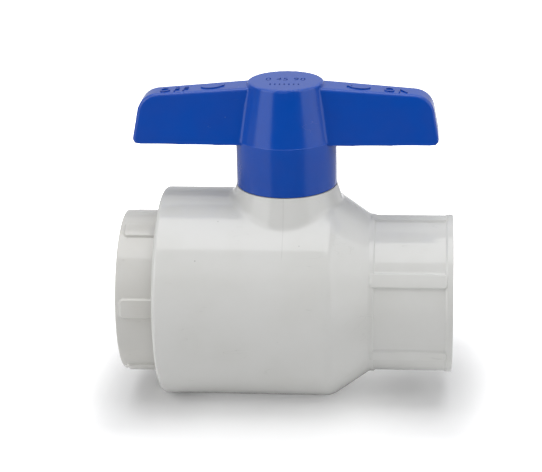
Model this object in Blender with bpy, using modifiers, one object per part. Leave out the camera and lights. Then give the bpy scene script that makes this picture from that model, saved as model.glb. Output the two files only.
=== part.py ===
"""Compact ball valve for one inch plastic pipe, with a socket at each end and a T handle.

The pipe runs along X and the stem stands along Z. The origin is the middle of the ball.
The valve is drawn open, with the handle along the pipe. All sizes are in metres.
"""

import math

import bmesh
import bpy
from mathutils import Matrix, Vector

# Clearance between pieces that touch or turn in one another
FIT_GAP = 0.0003

# Pipe sockets
SOCKET_MOUTH_RADIUS = 0.01683
SOCKET_TAPER = 0.00019
SOCKET_DEPTH = 0.0222
SOCKET_MOUTH_CHAMFER = 0.0006
SOCKET_FLOOR_WALL = 0.0040

# Ball
PORT_RADIUS = 0.0125
BALL_WALL = 0.0055
SLOT_WIDTH = 0.0050
SLOT_FLOOR_WALL = 0.0017

# Seats and the rubber cushions behind them
SEAT_BORE_STEP = 0.0002
SEAT_CONTACT_WIDTH = 0.0023
SEAT_RING_WIDTH = 0.0038
SEAT_THICKNESS = 0.0042
SEAT_PROUD = 0.0010
CUSHION_SECTION_RADIUS = 0.0010

# End connector
BARREL_WALL = 0.00447
BARREL_LENGTH = 0.0103
BARREL_EDGE = 0.0003
BARREL_RIB_WIDTH = 0.0050
BARREL_RIB_HEIGHT = 0.0006
BARREL_RIB_SETBACK = 0.0012
BARREL_RIB_TURN_DEG = 22.0
FLANGE_LEDGE = 0.0013
FLANGE_RECESS = 0.0010
SPIGOT_CHAMFER = 0.0006
CONNECTOR_RING_SECTION_RADIUS = 0.0012
CONNECTOR_RING_SETBACK = 0.0035

# Body
BODY_WALL = 0.00423
BODY_RIM_ROUND = 0.0009
CAVITY_ROUND = 0.0020
BORE_STEP = 0.0020
SHOULDER_SLOPE_DEG = 34.5
SHOULDER_ROUND = 0.0060
COLLAR_HEIGHT = 0.0008
COLLAR_LENGTH = 0.0015
COLLAR_PAST_SOCKET_FLOOR = 0.0017
COLLAR_FLARE = 0.0003
OUTLET_WALL = 0.00382
OUTLET_BEAD_HEIGHT = 0.00025
OUTLET_BEAD_LENGTH = 0.0015
OUTLET_BEAD_FLARE = 0.0005
OUTLET_EDGE = 0.0002
OUTLET_RIB_WIDTH = 0.0037
OUTLET_RIB_HEIGHT = 0.0006
OUTLET_RIB_SETBACK = 0.0013
OUTLET_RIB_TURN_DEG = 0.0
RIB_COUNT = 6
RIB_ROOT = 0.0010

# Neck and the quarter-turn stops on top of it
NECK_RISE = 0.00267
NECK_LEDGE = 0.0001
NECK_FLARE_DEG = 18.0
TOWER_WALL = 0.0039
TOWER_HEIGHT = 0.0066
TOWER_EDGE = 0.0004
STOP_HEIGHT = 0.0032
STOP_INSET = 0.0005
STOP_TURN_DEG = 45.0
STOP_CLEARANCE_DEG = 2.0
TURN_RANGE_DEG = 90.0

# Stem
STEM_RADIUS = 0.0060
STEM_FLANGE_WIDTH = 0.0022
STEM_FLANGE_THICKNESS = 0.0024
WASHER_THICKNESS = 0.0010
TANG_LENGTH = 0.0110
STEM_RING_SECTION_RADIUS = 0.0009
STEM_RING_SETBACK = 0.0075
STEM_RING_PITCH = 0.0040
STEM_RING_PROUD = 0.0001
DRIVE_STEP = 0.0003
DRIVE_FLAT_DEPTH = 0.0015
DRIVE_LENGTH = 0.0135

# Handle
SKIRT_HEIGHT = 0.0132
SKIRT_WALL = 0.00216
SKIRT_RUN_GAP = 0.0005
SKIRT_DRAFT_DEG = 0.5
HUB_SKIRT_STEP = 0.0002
HUB_CONE_HEIGHT = 0.01426
HUB_TOP_RADIUS = 0.00972
HUB_TOP_EDGE = 0.0004
HUB_WALL = 0.0021
BOSS_WALL = 0.0017
BOSS_MOAT = 0.0010
WING_DROP = 0.00125
WING_HALF_LENGTH = 0.0396
WING_ROOT_HEIGHT = 0.0153
WING_ROOT_HALF_THICKNESS = 0.0075
WING_FALL_DEG = 4.4
WING_TAPER_DEG = 2.5
WING_DRAFT_DEG = 10.8
WING_TIP_DRAFT_DEG = 10.0
WING_TOP_CORNER_ROUND = 0.0055
WING_BOTTOM_CORNER_ROUND = 0.0020
WING_EDGE_ROUND = 0.0008
WING_START = 0.0040
WING_ROOT_ROUND = 0.0026
WING_ROOT_SINK = 0.0002
WING_WALL = 0.0019
WING_WEB = 0.0016
WING_POCKETS = 3

# Facets: steps round a turn, and the angle between the points of an arc
BODY_STEPS = 48
BALL_STEPS = 40
RING_STEPS = 32
STEM_STEPS = 28
SECTION_STEPS = 6
WING_ROOT_STEPS = 4
ARC_STEP_DEG = 20.0
BALL_ARC_STEP_DEG = 8.0
SHARP_ANGLE_DEG = 30.0

# How far a cutter runs past the face that it opens, and how deep a joined piece is rooted
CUT_PAST = 0.0020
ROOT = 0.0010

# Places along the pipe, counted from the middle of the ball
BALL_RADIUS = PORT_RADIUS + BALL_WALL
SEAT_SPHERE_RADIUS = BALL_RADIUS + FIT_GAP
WATERWAY_RADIUS = PORT_RADIUS + SEAT_BORE_STEP
SEAT_LIP_RADIUS = WATERWAY_RADIUS + SEAT_CONTACT_WIDTH
SEAT_OUTER_RADIUS = WATERWAY_RADIUS + SEAT_RING_WIDTH
POCKET_RADIUS = SEAT_OUTER_RADIUS + FIT_GAP
SEAT_FRONT = math.sqrt(SEAT_SPHERE_RADIUS**2 - SEAT_LIP_RADIUS**2)
SEAT_BACK = SEAT_FRONT + SEAT_THICKNESS
CUSHION_MIDDLE = SEAT_BACK + FIT_GAP + CUSHION_SECTION_RADIUS
CUSHION_RING_RADIUS = POCKET_RADIUS - FIT_GAP - CUSHION_SECTION_RADIUS
POCKET_FLOOR = CUSHION_MIDDLE + CUSHION_SECTION_RADIUS + FIT_GAP
POCKET_MOUTH = SEAT_FRONT + SEAT_PROUD
SOCKET_FLOOR = POCKET_FLOOR + SOCKET_FLOOR_WALL
END_FACE = SOCKET_FLOOR + SOCKET_DEPTH
BODY_FACE = END_FACE - BARREL_LENGTH
FLANGE_FACE = BODY_FACE - FLANGE_RECESS
CONNECTOR_STOP = POCKET_MOUTH - FIT_GAP

# Radii about the pipe
SOCKET_FLOOR_RADIUS = SOCKET_MOUTH_RADIUS - SOCKET_TAPER
BARREL_RADIUS = SOCKET_MOUTH_RADIUS + BARREL_WALL
BORE_RADIUS = BARREL_RADIUS + BARREL_RIB_HEIGHT + FLANGE_LEDGE + FIT_GAP
CAVITY_RADIUS = BORE_RADIUS - BORE_STEP
SPIGOT_RADIUS = BORE_RADIUS - FIT_GAP
CONNECTOR_RING_RADIUS = BORE_RADIUS - FIT_GAP - CONNECTOR_RING_SECTION_RADIUS
CONNECTOR_GROOVE_RADIUS = CONNECTOR_RING_RADIUS - CONNECTOR_RING_SECTION_RADIUS - FIT_GAP
CONNECTOR_GROOVE_HALF = CONNECTOR_RING_SECTION_RADIUS + FIT_GAP
CONNECTOR_RING_MIDDLE = POCKET_MOUTH + CONNECTOR_RING_SETBACK + CONNECTOR_GROOVE_HALF
BODY_RADIUS = BORE_RADIUS + BODY_WALL
PANEL_RADIUS = SOCKET_MOUTH_RADIUS + OUTLET_WALL
COLLAR_RADIUS = PANEL_RADIUS + COLLAR_HEIGHT
BEAD_RADIUS = PANEL_RADIUS + OUTLET_BEAD_HEIGHT
COLLAR_END = SOCKET_FLOOR + COLLAR_PAST_SOCKET_FLOOR
COLLAR_START = COLLAR_END - COLLAR_LENGTH
SHOULDER_START = COLLAR_START - (BODY_RADIUS - COLLAR_RADIUS) / math.tan(math.radians(SHOULDER_SLOPE_DEG))

# Heights along the stem
SLOT_FLOOR = PORT_RADIUS + SLOT_FLOOR_WALL
TANG_END = SLOT_FLOOR + FIT_GAP
STEM_FLANGE_BOTTOM = BALL_RADIUS + FIT_GAP
STEM_FLANGE_TOP = STEM_FLANGE_BOTTOM + STEM_FLANGE_THICKNESS
WASHER_BOTTOM = STEM_FLANGE_TOP + FIT_GAP
WASHER_TOP = WASHER_BOTTOM + WASHER_THICKNESS
THRUST_FACE = WASHER_TOP + FIT_GAP
NECK_TOP = BODY_RADIUS + NECK_RISE
TOWER_TOP = NECK_TOP + TOWER_HEIGHT
UPPER_RING_HEIGHT = TOWER_TOP - STEM_RING_SETBACK
STEM_RING_HEIGHTS = (UPPER_RING_HEIGHT - STEM_RING_PITCH, UPPER_RING_HEIGHT)
STOP_TOP = TOWER_TOP + STOP_HEIGHT
BOSS_BOTTOM = STOP_TOP + FIT_GAP
STEM_TOP = BOSS_BOTTOM + DRIVE_LENGTH
SKIRT_BOTTOM = NECK_TOP + FIT_GAP
SKIRT_TOP = SKIRT_BOTTOM + SKIRT_HEIGHT
HUB_TOP = SKIRT_TOP + HUB_CONE_HEIGHT
WING_BOTTOM = SKIRT_TOP - WING_DROP

# Radii about the stem
STEM_BORE_RADIUS = STEM_RADIUS + STEM_RING_PROUD + FIT_GAP
STEM_FLANGE_RADIUS = STEM_RADIUS + STEM_FLANGE_WIDTH
STEM_RING_RADIUS = STEM_BORE_RADIUS - FIT_GAP - STEM_RING_SECTION_RADIUS
STEM_GROOVE_RADIUS = STEM_RING_RADIUS - STEM_RING_SECTION_RADIUS - FIT_GAP
STEM_GROOVE_HALF = STEM_RING_SECTION_RADIUS + FIT_GAP
DRIVE_RADIUS = STEM_RADIUS - DRIVE_STEP
DRIVE_HALF_FLAT = DRIVE_RADIUS - DRIVE_FLAT_DEPTH
TOWER_RADIUS = STEM_BORE_RADIUS + TOWER_WALL
SKIRT_INNER_RADIUS = TOWER_RADIUS + SKIRT_RUN_GAP
SKIRT_TOP_RADIUS = SKIRT_INNER_RADIUS + SKIRT_WALL
SKIRT_BOTTOM_RADIUS = SKIRT_TOP_RADIUS + SKIRT_HEIGHT * math.tan(math.radians(SKIRT_DRAFT_DEG))
NECK_TOP_RADIUS = SKIRT_BOTTOM_RADIUS + NECK_LEDGE
HUB_BASE_RADIUS = SKIRT_TOP_RADIUS + HUB_SKIRT_STEP
BOSS_RADIUS = STEM_RADIUS + FIT_GAP + BOSS_WALL
STOP_SPAN_DEG = (180 - TURN_RANGE_DEG) / 2 - STOP_CLEARANCE_DEG

WHITE_PLASTIC = (0.80, 0.80, 0.79)
WARM_WHITE_PLASTIC = (0.78, 0.77, 0.74)
BLUE_PLASTIC = (0.010, 0.055, 0.33)
SEAT_PLASTIC = (0.86, 0.86, 0.83)
STEM_PLASTIC = (0.55, 0.56, 0.57)
BLACK_RUBBER = (0.02, 0.02, 0.02)


def clear_scene():
    for obj in list(bpy.data.objects):
        bpy.data.objects.remove(obj)


def new_collection(name):
    collection = bpy.data.collections.new(name)
    bpy.context.scene.collection.children.link(collection)
    return collection


def plastic(name, colour, roughness):
    material = bpy.data.materials.new(name)
    material.use_nodes = True
    shader = material.node_tree.nodes["Principled BSDF"]
    shader.inputs["Base Color"].default_value = (*colour, 1)
    shader.inputs["Roughness"].default_value = roughness
    shader.inputs["Metallic"].default_value = 0
    return material


def rounded(corners, closed):
    """Points of an outline whose corners, given as (a, b, radius), are rounded with arcs."""
    points = []
    last = len(corners) - 1
    for index, (a, b, radius) in enumerate(corners):
        at_an_end = not closed and index in (0, last)
        if radius == 0 or at_an_end:
            points.append((a, b))
            continue
        here = Vector((a, b))
        to_before = Vector(corners[index - 1][:2]) - here
        to_after = Vector(corners[(index + 1) % len(corners)][:2]) - here
        half = to_before.angle(to_after) / 2
        reach = min(radius / math.tan(half), to_before.length / 2, to_after.length / 2)
        inwards = (to_before.normalized() + to_after.normalized()).normalized()
        middle = here + inwards * (reach / math.cos(half))
        start = here + to_before.normalized() * reach - middle
        end = here + to_after.normalized() * reach - middle
        turn = math.atan2(start.x * end.y - start.y * end.x, start.dot(end))
        steps = max(1, math.ceil(abs(turn) / math.radians(ARC_STEP_DEG)))
        for step in range(steps + 1):
            points.append(tuple(middle + Matrix.Rotation(turn * step / steps, 2) @ start))
    return points


def place(name, mesh, collection):
    obj = bpy.data.objects.new(name, mesh)
    collection.objects.link(obj)
    return obj


def turned(name, profile, closed, steps, collection, about="Z"):
    """A profile of (radius, height) points turned about Z, or about X with the heights along +X."""
    count = len(profile)
    edges = [(index, index + 1) for index in range(count - 1)]
    if closed:
        edges.append((count - 1, 0))
    mesh = bpy.data.meshes.new(name)
    mesh.from_pydata([(radius, 0, height) for radius, height in profile], edges, [])
    obj = place(name, mesh, collection)
    screw = obj.modifiers.new("turn", "SCREW")
    screw.axis = "Z"
    screw.angle = 2 * math.pi
    screw.steps = steps
    screw.render_steps = steps
    screw.use_merge_vertices = True
    screw.merge_threshold = 0.00001
    if about == "X":
        obj.rotation_euler.y = math.pi / 2
    return obj


def weld(mesh):
    """Closes the seams between the caps and the sides of an extruded outline."""
    work = bmesh.new()
    work.from_mesh(mesh)
    bmesh.ops.remove_doubles(work, verts=work.verts, dist=0.000001)
    bmesh.ops.recalc_face_normals(work, faces=work.faces)
    work.to_mesh(mesh)
    work.free()


def extruded(name, outline, low, high, collection):
    """A closed outline of (x, y) points drawn up from one height to another."""
    curve = bpy.data.curves.new(name, "CURVE")
    curve.dimensions = "2D"
    curve.fill_mode = "BOTH"
    curve.extrude = (high - low) / 2
    spline = curve.splines.new("POLY")
    spline.points.add(len(outline) - 1)
    for point, (x, y) in zip(spline.points, outline):
        point.co = (x, y, 0, 1)
    spline.use_cyclic_u = True
    drawn = place(name + "_outline", curve, collection)
    drawn.location.z = (low + high) / 2
    bpy.context.view_layer.update()
    graph = bpy.context.evaluated_depsgraph_get()
    mesh = bpy.data.meshes.new_from_object(drawn.evaluated_get(graph))
    mesh.transform(drawn.matrix_world)
    bpy.data.objects.remove(drawn)
    weld(mesh)
    return place(name, mesh, collection)


def lofted(name, low_outline, low, high_outline, high, collection):
    """A solid between two outlines of (x, y) points, as many in each, at two heights."""
    work = bmesh.new()
    bottom = [work.verts.new((x, y, low)) for x, y in low_outline]
    top = [work.verts.new((x, y, high)) for x, y in high_outline]
    work.faces.new(bottom)
    work.faces.new(top)
    count = len(bottom)
    for index in range(count):
        after = (index + 1) % count
        work.faces.new((bottom[index], bottom[after], top[after], top[index]))
    bmesh.ops.recalc_face_normals(work, faces=work.faces)
    mesh = bpy.data.meshes.new(name)
    work.to_mesh(mesh)
    work.free()
    return place(name, mesh, collection)


def box(name, low, high, collection):
    work = bmesh.new()
    bmesh.ops.create_cube(work, size=1)
    size = Vector(high) - Vector(low)
    middle = (Vector(high) + Vector(low)) / 2
    matrix = Matrix.Translation(middle) @ Matrix.Diagonal(size).to_4x4()
    bmesh.ops.transform(work, matrix=matrix, verts=work.verts)
    mesh = bpy.data.meshes.new(name)
    work.to_mesh(mesh)
    work.free()
    return place(name, mesh, collection)


def torus(name, ring_radius, section_radius, steps, collection):
    bpy.ops.mesh.primitive_torus_add(
        major_radius=ring_radius,
        minor_radius=section_radius,
        major_segments=steps,
        minor_segments=SECTION_STEPS,
    )
    obj = bpy.context.object
    obj.name = name
    for holder in list(obj.users_collection):
        holder.objects.unlink(obj)
    collection.objects.link(obj)
    return obj


def rib_ring(name, x_low, x_high, radius, height, width, first_turn_deg, collection):
    """Ribs that run along the pipe, spaced evenly round it and rooted in the wall."""
    work = bmesh.new()
    size = Vector((x_high - x_low, width, height + RIB_ROOT))
    middle = Vector(((x_low + x_high) / 2, 0, radius + (height - RIB_ROOT) / 2))
    for index in range(RIB_COUNT):
        turn = math.radians(first_turn_deg + index * 360 / RIB_COUNT)
        matrix = Matrix.Rotation(turn, 4, "X") @ Matrix.Translation(middle) @ Matrix.Diagonal(size).to_4x4()
        bmesh.ops.create_cube(work, size=1, matrix=matrix)
    mesh = bpy.data.meshes.new(name)
    work.to_mesh(mesh)
    work.free()
    return place(name, mesh, collection)


def combine(target, operation, tool):
    modifier = target.modifiers.new(f"{operation.lower()} {tool.name}", "BOOLEAN")
    modifier.operation = operation
    modifier.object = tool
    modifier.solver = "EXACT"


def as_tool(obj):
    obj.hide_render = True
    obj.display_type = "WIRE"
    return obj


def settle(obj):
    """Turns what a shape's modifiers make into its own mesh."""
    bpy.context.view_layer.update()
    graph = bpy.context.evaluated_depsgraph_get()
    mesh = bpy.data.meshes.new_from_object(obj.evaluated_get(graph))
    obj.modifiers.clear()
    obj.data = mesh


def finish(obj, material, parent=None):
    """Settles a piece, gives it its material and shades it smooth between its sharp edges."""
    settle(obj)
    obj.data.materials.clear()
    obj.data.materials.append(material)
    obj.data.shade_smooth()
    obj.data.set_sharp_from_angle(angle=math.radians(SHARP_ANGLE_DEG))
    obj.parent = parent


def sector(inner, outer, middle_deg, span_deg):
    """Outline of a slice of a ring about the stem."""
    steps = math.ceil(span_deg / ARC_STEP_DEG)
    angles = [math.radians(middle_deg + span_deg * (step / steps - 0.5)) for step in range(steps + 1)]
    outer_arc = [(outer * math.cos(angle), outer * math.sin(angle)) for angle in angles]
    inner_arc = [(inner * math.cos(angle), inner * math.sin(angle)) for angle in reversed(angles)]
    return outer_arc + inner_arc


def double_d(gap):
    """Outline of the stem's drive, a round with two flats that face along the pipe, grown by a gap."""
    radius = DRIVE_RADIUS + gap
    half_flat = DRIVE_HALF_FLAT + gap
    reach = math.degrees(math.asin(half_flat / radius))
    steps = math.ceil(2 * reach / ARC_STEP_DEG)
    outline = []
    for side in (90, 270):
        for step in range(steps + 1):
            angle = math.radians(side + reach * (2 * step / steps - 1))
            outline.append((radius * math.cos(angle), radius * math.sin(angle)))
    return outline


def body_outside():
    """Profile from the outlet's end face, over the shoulder, to the inlet face of the barrel."""
    return rounded(
        [
            (0, END_FACE, 0),
            (BEAD_RADIUS, END_FACE, OUTLET_EDGE),
            (BEAD_RADIUS, END_FACE - OUTLET_BEAD_LENGTH, 0),
            (PANEL_RADIUS, END_FACE - OUTLET_BEAD_LENGTH - OUTLET_BEAD_FLARE, 0),
            (PANEL_RADIUS, COLLAR_END + COLLAR_FLARE, 0),
            (COLLAR_RADIUS, COLLAR_END, 0),
            (COLLAR_RADIUS, COLLAR_START, 0),
            (BODY_RADIUS, SHOULDER_START, SHOULDER_ROUND),
            (BODY_RADIUS, -BODY_FACE, BODY_RIM_ROUND),
            (0, -BODY_FACE, 0),
        ],
        closed=False,
    )


def body_inside():
    """Profile of what is hollow: outlet socket, waterway, seat pocket, ball cavity and connector bore."""
    mouth = SOCKET_MOUTH_RADIUS + SOCKET_MOUTH_CHAMFER + CUT_PAST
    return rounded(
        [
            (0, END_FACE + CUT_PAST, 0),
            (mouth, END_FACE + CUT_PAST, 0),
            (SOCKET_MOUTH_RADIUS, END_FACE - SOCKET_MOUTH_CHAMFER, 0),
            (SOCKET_FLOOR_RADIUS, SOCKET_FLOOR, 0),
            (WATERWAY_RADIUS, SOCKET_FLOOR, 0),
            (WATERWAY_RADIUS, POCKET_FLOOR, 0),
            (POCKET_RADIUS, POCKET_FLOOR, 0),
            (POCKET_RADIUS, POCKET_MOUTH, 0),
            (CAVITY_RADIUS, POCKET_MOUTH, CAVITY_ROUND),
            (CAVITY_RADIUS, -CONNECTOR_STOP, 0),
            (BORE_RADIUS, -CONNECTOR_STOP, 0),
            (BORE_RADIUS, -BODY_FACE - CUT_PAST, 0),
            (0, -BODY_FACE - CUT_PAST, 0),
        ],
        closed=False,
    )


def neck_outside():
    """Profile of the flared neck and of the tower that the handle's skirt turns round."""
    base = BALL_RADIUS
    base_radius = NECK_TOP_RADIUS + (NECK_TOP - base) * math.tan(math.radians(NECK_FLARE_DEG))
    return rounded(
        [
            (0, TOWER_TOP, 0),
            (TOWER_RADIUS, TOWER_TOP, TOWER_EDGE),
            (TOWER_RADIUS, NECK_TOP, 0),
            (NECK_TOP_RADIUS, NECK_TOP, 0),
            (base_radius, base, 0),
            (0, base, 0),
        ],
        closed=False,
    )


def stem_bore():
    """Profile of the hole for the stem, with the wider chamber for its flange below."""
    flange_chamber = STEM_FLANGE_RADIUS + FIT_GAP
    return [
        (0, STOP_TOP + CUT_PAST),
        (STEM_BORE_RADIUS, STOP_TOP + CUT_PAST),
        (STEM_BORE_RADIUS, THRUST_FACE),
        (flange_chamber, THRUST_FACE),
        (flange_chamber, 0),
        (0, 0),
    ]


def make_body(parts, tools, material):
    body = turned("valve_body", body_outside(), False, BODY_STEPS, parts, about="X")
    neck = turned("neck", neck_outside(), False, BODY_STEPS, tools)
    ribs = rib_ring(
        "outlet_ribs",
        COLLAR_END - ROOT,
        END_FACE - OUTLET_RIB_SETBACK,
        PANEL_RADIUS,
        OUTLET_RIB_HEIGHT,
        OUTLET_RIB_WIDTH,
        OUTLET_RIB_TURN_DEG,
        tools,
    )
    combine(body, "UNION", as_tool(neck))
    combine(body, "UNION", as_tool(ribs))
    for side in (0, 180):
        outline = sector(
            STEM_BORE_RADIUS + STOP_INSET, TOWER_RADIUS - STOP_INSET, STOP_TURN_DEG + side, STOP_SPAN_DEG
        )
        stop = extruded(f"body_stop_{side}", outline, TOWER_TOP - ROOT, STOP_TOP, tools)
        combine(body, "UNION", as_tool(stop))
    hollow = turned("body_hollow", body_inside(), False, BODY_STEPS, tools, about="X")
    bore = turned("stem_bore", stem_bore(), False, STEM_STEPS, tools)
    combine(body, "DIFFERENCE", as_tool(hollow))
    combine(body, "DIFFERENCE", as_tool(bore))
    finish(body, material)


def connector_profile():
    """Profile of the end connector: spigot with its ring groove, barrel, socket, waterway and seat pocket."""
    groove_front = -CONNECTOR_RING_MIDDLE + CONNECTOR_GROOVE_HALF
    groove_back = -CONNECTOR_RING_MIDDLE - CONNECTOR_GROOVE_HALF
    return rounded(
        [
            (SPIGOT_RADIUS, -POCKET_MOUTH, SPIGOT_CHAMFER),
            (SPIGOT_RADIUS, groove_front, 0),
            (CONNECTOR_GROOVE_RADIUS, groove_front, 0),
            (CONNECTOR_GROOVE_RADIUS, groove_back, 0),
            (SPIGOT_RADIUS, groove_back, 0),
            (SPIGOT_RADIUS, -FLANGE_FACE, 0),
            (BARREL_RADIUS, -FLANGE_FACE, 0),
            (BARREL_RADIUS, -END_FACE, BARREL_EDGE),
            (SOCKET_MOUTH_RADIUS + SOCKET_MOUTH_CHAMFER, -END_FACE, 0),
            (SOCKET_MOUTH_RADIUS, -END_FACE + SOCKET_MOUTH_CHAMFER, 0),
            (SOCKET_FLOOR_RADIUS, -SOCKET_FLOOR, 0),
            (WATERWAY_RADIUS, -SOCKET_FLOOR, 0),
            (WATERWAY_RADIUS, -POCKET_FLOOR, 0),
            (POCKET_RADIUS, -POCKET_FLOOR, 0),
            (POCKET_RADIUS, -POCKET_MOUTH, 0),
        ],
        closed=True,
    )


def make_connector(parts, tools, material):
    connector = turned("end_connector", connector_profile(), True, BODY_STEPS, parts, about="X")
    ribs = rib_ring(
        "barrel_ribs",
        -END_FACE + BARREL_RIB_SETBACK,
        -FLANGE_FACE + ROOT,
        BARREL_RADIUS,
        BARREL_RIB_HEIGHT,
        BARREL_RIB_WIDTH,
        BARREL_RIB_TURN_DEG,
        tools,
    )
    combine(connector, "UNION", as_tool(ribs))
    finish(connector, material)


def make_ball(parts, tools, material, axis):
    """A bored ball with a slot across its top, square to the port, for the stem's tang."""
    edge_angle = math.asin(PORT_RADIUS / BALL_RADIUS)
    steps = math.ceil((math.pi - 2 * edge_angle) / math.radians(BALL_ARC_STEP_DEG))
    angles = [edge_angle + (math.pi - 2 * edge_angle) * step / steps for step in range(steps + 1)]
    profile = [(BALL_RADIUS * math.sin(angle), BALL_RADIUS * math.cos(angle)) for angle in angles]
    ball = turned("ball", profile, True, BALL_STEPS, parts, about="X")
    half = SLOT_WIDTH / 2
    reach = BALL_RADIUS + CUT_PAST
    slot = box("ball_slot", (-half, -reach, SLOT_FLOOR), (half, reach, reach), tools)
    combine(ball, "DIFFERENCE", as_tool(slot))
    finish(ball, material, axis)


def make_seats(parts, material):
    """Two like rings with a round face for the ball, back to back across it."""
    bore_angle = math.asin(WATERWAY_RADIUS / SEAT_SPHERE_RADIUS)
    lip_angle = math.asin(SEAT_LIP_RADIUS / SEAT_SPHERE_RADIUS)
    steps = math.ceil((lip_angle - bore_angle) / math.radians(BALL_ARC_STEP_DEG))
    angles = [lip_angle + (bore_angle - lip_angle) * step / steps for step in range(steps + 1)]
    face = [(SEAT_SPHERE_RADIUS * math.sin(angle), SEAT_SPHERE_RADIUS * math.cos(angle)) for angle in angles]
    outside = [(SEAT_OUTER_RADIUS, SEAT_BACK), (SEAT_OUTER_RADIUS, SEAT_FRONT)]
    profile = outside + face + [(WATERWAY_RADIUS, SEAT_BACK)]
    for name, turn in (("outlet_seat", 0), ("inlet_seat", math.pi)):
        seat = turned(name, profile, True, BALL_STEPS, parts, about="X")
        seat.rotation_euler.z = turn
        finish(seat, material)


def make_body_rings(parts, material):
    """Rubber rings about the pipe: the seats' cushions and the connector's seal."""
    rings = (
        ("outlet_seat_cushion", CUSHION_MIDDLE, CUSHION_RING_RADIUS, CUSHION_SECTION_RADIUS),
        ("inlet_seat_cushion", -CUSHION_MIDDLE, CUSHION_RING_RADIUS, CUSHION_SECTION_RADIUS),
        ("connector_o_ring", -CONNECTOR_RING_MIDDLE, CONNECTOR_RING_RADIUS, CONNECTOR_RING_SECTION_RADIUS),
    )
    for name, middle, ring_radius, section_radius in rings:
        ring = torus(name, ring_radius, section_radius, RING_STEPS, parts)
        ring.location.x = middle
        ring.rotation_euler.y = math.pi / 2
        finish(ring, material)


def make_washer(parts, material):
    inner = STEM_RADIUS + FIT_GAP
    profile = [
        (STEM_FLANGE_RADIUS, WASHER_TOP),
        (STEM_FLANGE_RADIUS, WASHER_BOTTOM),
        (inner, WASHER_BOTTOM),
        (inner, WASHER_TOP),
    ]
    finish(turned("stem_thrust_washer", profile, True, STEM_STEPS, parts), material)


def stem_profile():
    """Profile of the stem's shaft, with its ring grooves and the flange that it can't blow out past."""
    profile = [(0, BOSS_BOTTOM - FIT_GAP), (STEM_RADIUS, BOSS_BOTTOM - FIT_GAP)]
    for height in reversed(STEM_RING_HEIGHTS):
        profile += [
            (STEM_RADIUS, height + STEM_GROOVE_HALF),
            (STEM_GROOVE_RADIUS, height + STEM_GROOVE_HALF),
            (STEM_GROOVE_RADIUS, height - STEM_GROOVE_HALF),
            (STEM_RADIUS, height - STEM_GROOVE_HALF),
        ]
    profile += [
        (STEM_RADIUS, STEM_FLANGE_TOP),
        (STEM_FLANGE_RADIUS, STEM_FLANGE_TOP),
        (STEM_FLANGE_RADIUS, STEM_FLANGE_BOTTOM),
        (0, STEM_FLANGE_BOTTOM),
    ]
    return profile


def make_stem(parts, tools, material, axis):
    stem = turned("stem", stem_profile(), False, STEM_STEPS, parts)
    drive = extruded("stem_drive", double_d(0), BOSS_BOTTOM - FIT_GAP - ROOT, STEM_TOP, tools)
    half_width = SLOT_WIDTH / 2 - FIT_GAP
    half_length = TANG_LENGTH / 2
    tang = box(
        "stem_tang",
        (-half_width, -half_length, TANG_END),
        (half_width, half_length, STEM_FLANGE_BOTTOM + ROOT),
        tools,
    )
    combine(stem, "UNION", as_tool(drive))
    combine(stem, "UNION", as_tool(tang))
    finish(stem, material, axis)


def make_stem_rings(parts, material, axis):
    for name, height in zip(("lower_stem_o_ring", "upper_stem_o_ring"), STEM_RING_HEIGHTS):
        ring = torus(name, STEM_RING_RADIUS, STEM_RING_SECTION_RADIUS, STEM_STEPS, parts)
        ring.location.z = height
        finish(ring, material, axis)


def hub_outside_radius(height):
    """Radius of the hub's cone at a height above its widest line."""
    share = (height - SKIRT_TOP) / HUB_CONE_HEIGHT
    return HUB_BASE_RADIUS + (HUB_TOP_RADIUS - HUB_BASE_RADIUS) * share


def hub_outside():
    """Profile of the handle's hub: flat top, cone, and the skirt that hangs over the neck."""
    return rounded(
        [
            (0, HUB_TOP, 0),
            (HUB_TOP_RADIUS, HUB_TOP, HUB_TOP_EDGE),
            (HUB_BASE_RADIUS, SKIRT_TOP, 0),
            (SKIRT_TOP_RADIUS, SKIRT_TOP - HUB_SKIRT_STEP, 0),
            (SKIRT_BOTTOM_RADIUS, SKIRT_BOTTOM, 0),
            (0, SKIRT_BOTTOM, 0),
        ],
        closed=False,
    )


def hub_inside():
    """Profile of the hub's hollow: the skirt's bore, and a moat round the boss that holds the stem."""
    moat_outer = BOSS_RADIUS + BOSS_MOAT
    slope = (HUB_BASE_RADIUS - HUB_TOP_RADIUS) / HUB_CONE_HEIGHT
    moat_top = SKIRT_TOP + max(BOSS_MOAT, (HUB_BASE_RADIUS - HUB_WALL - moat_outer) / slope)
    return [
        (0, BOSS_BOTTOM),
        (BOSS_RADIUS, BOSS_BOTTOM),
        (BOSS_RADIUS, moat_top),
        (hub_outside_radius(moat_top) - HUB_WALL, moat_top),
        (hub_outside_radius(SKIRT_TOP) - HUB_WALL, SKIRT_TOP),
        (SKIRT_INNER_RADIUS, SKIRT_TOP - HUB_SKIRT_STEP),
        (SKIRT_INNER_RADIUS, SKIRT_BOTTOM - CUT_PAST),
        (0, SKIRT_BOTTOM - CUT_PAST),
    ]


def wing_top(x):
    return WING_BOTTOM + WING_ROOT_HEIGHT - x * math.tan(math.radians(WING_FALL_DEG))


def wing_half_thickness(x, z):
    """The wing thins towards its tip, and upwards by its moulding draft."""
    taper = x * math.tan(math.radians(WING_TAPER_DEG))
    draft = (z - WING_BOTTOM) * math.tan(math.radians(WING_DRAFT_DEG))
    return WING_ROOT_HALF_THICKNESS - taper - draft


def wing_tip(z):
    return WING_HALF_LENGTH - (z - WING_BOTTOM) * math.tan(math.radians(WING_TIP_DRAFT_DEG))


def inside_wing(name, outline, collection):
    """An upright outline of (x, z) points as thick as the room between the wing's two walls."""
    solid = extruded(name, outline, -WING_WALL, WING_WALL, collection)
    for vertex in solid.data.vertices:
        x, z, side = vertex.co
        vertex.co = (x, -math.copysign(wing_half_thickness(x, z) - WING_WALL, side), z)
    return solid


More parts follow.
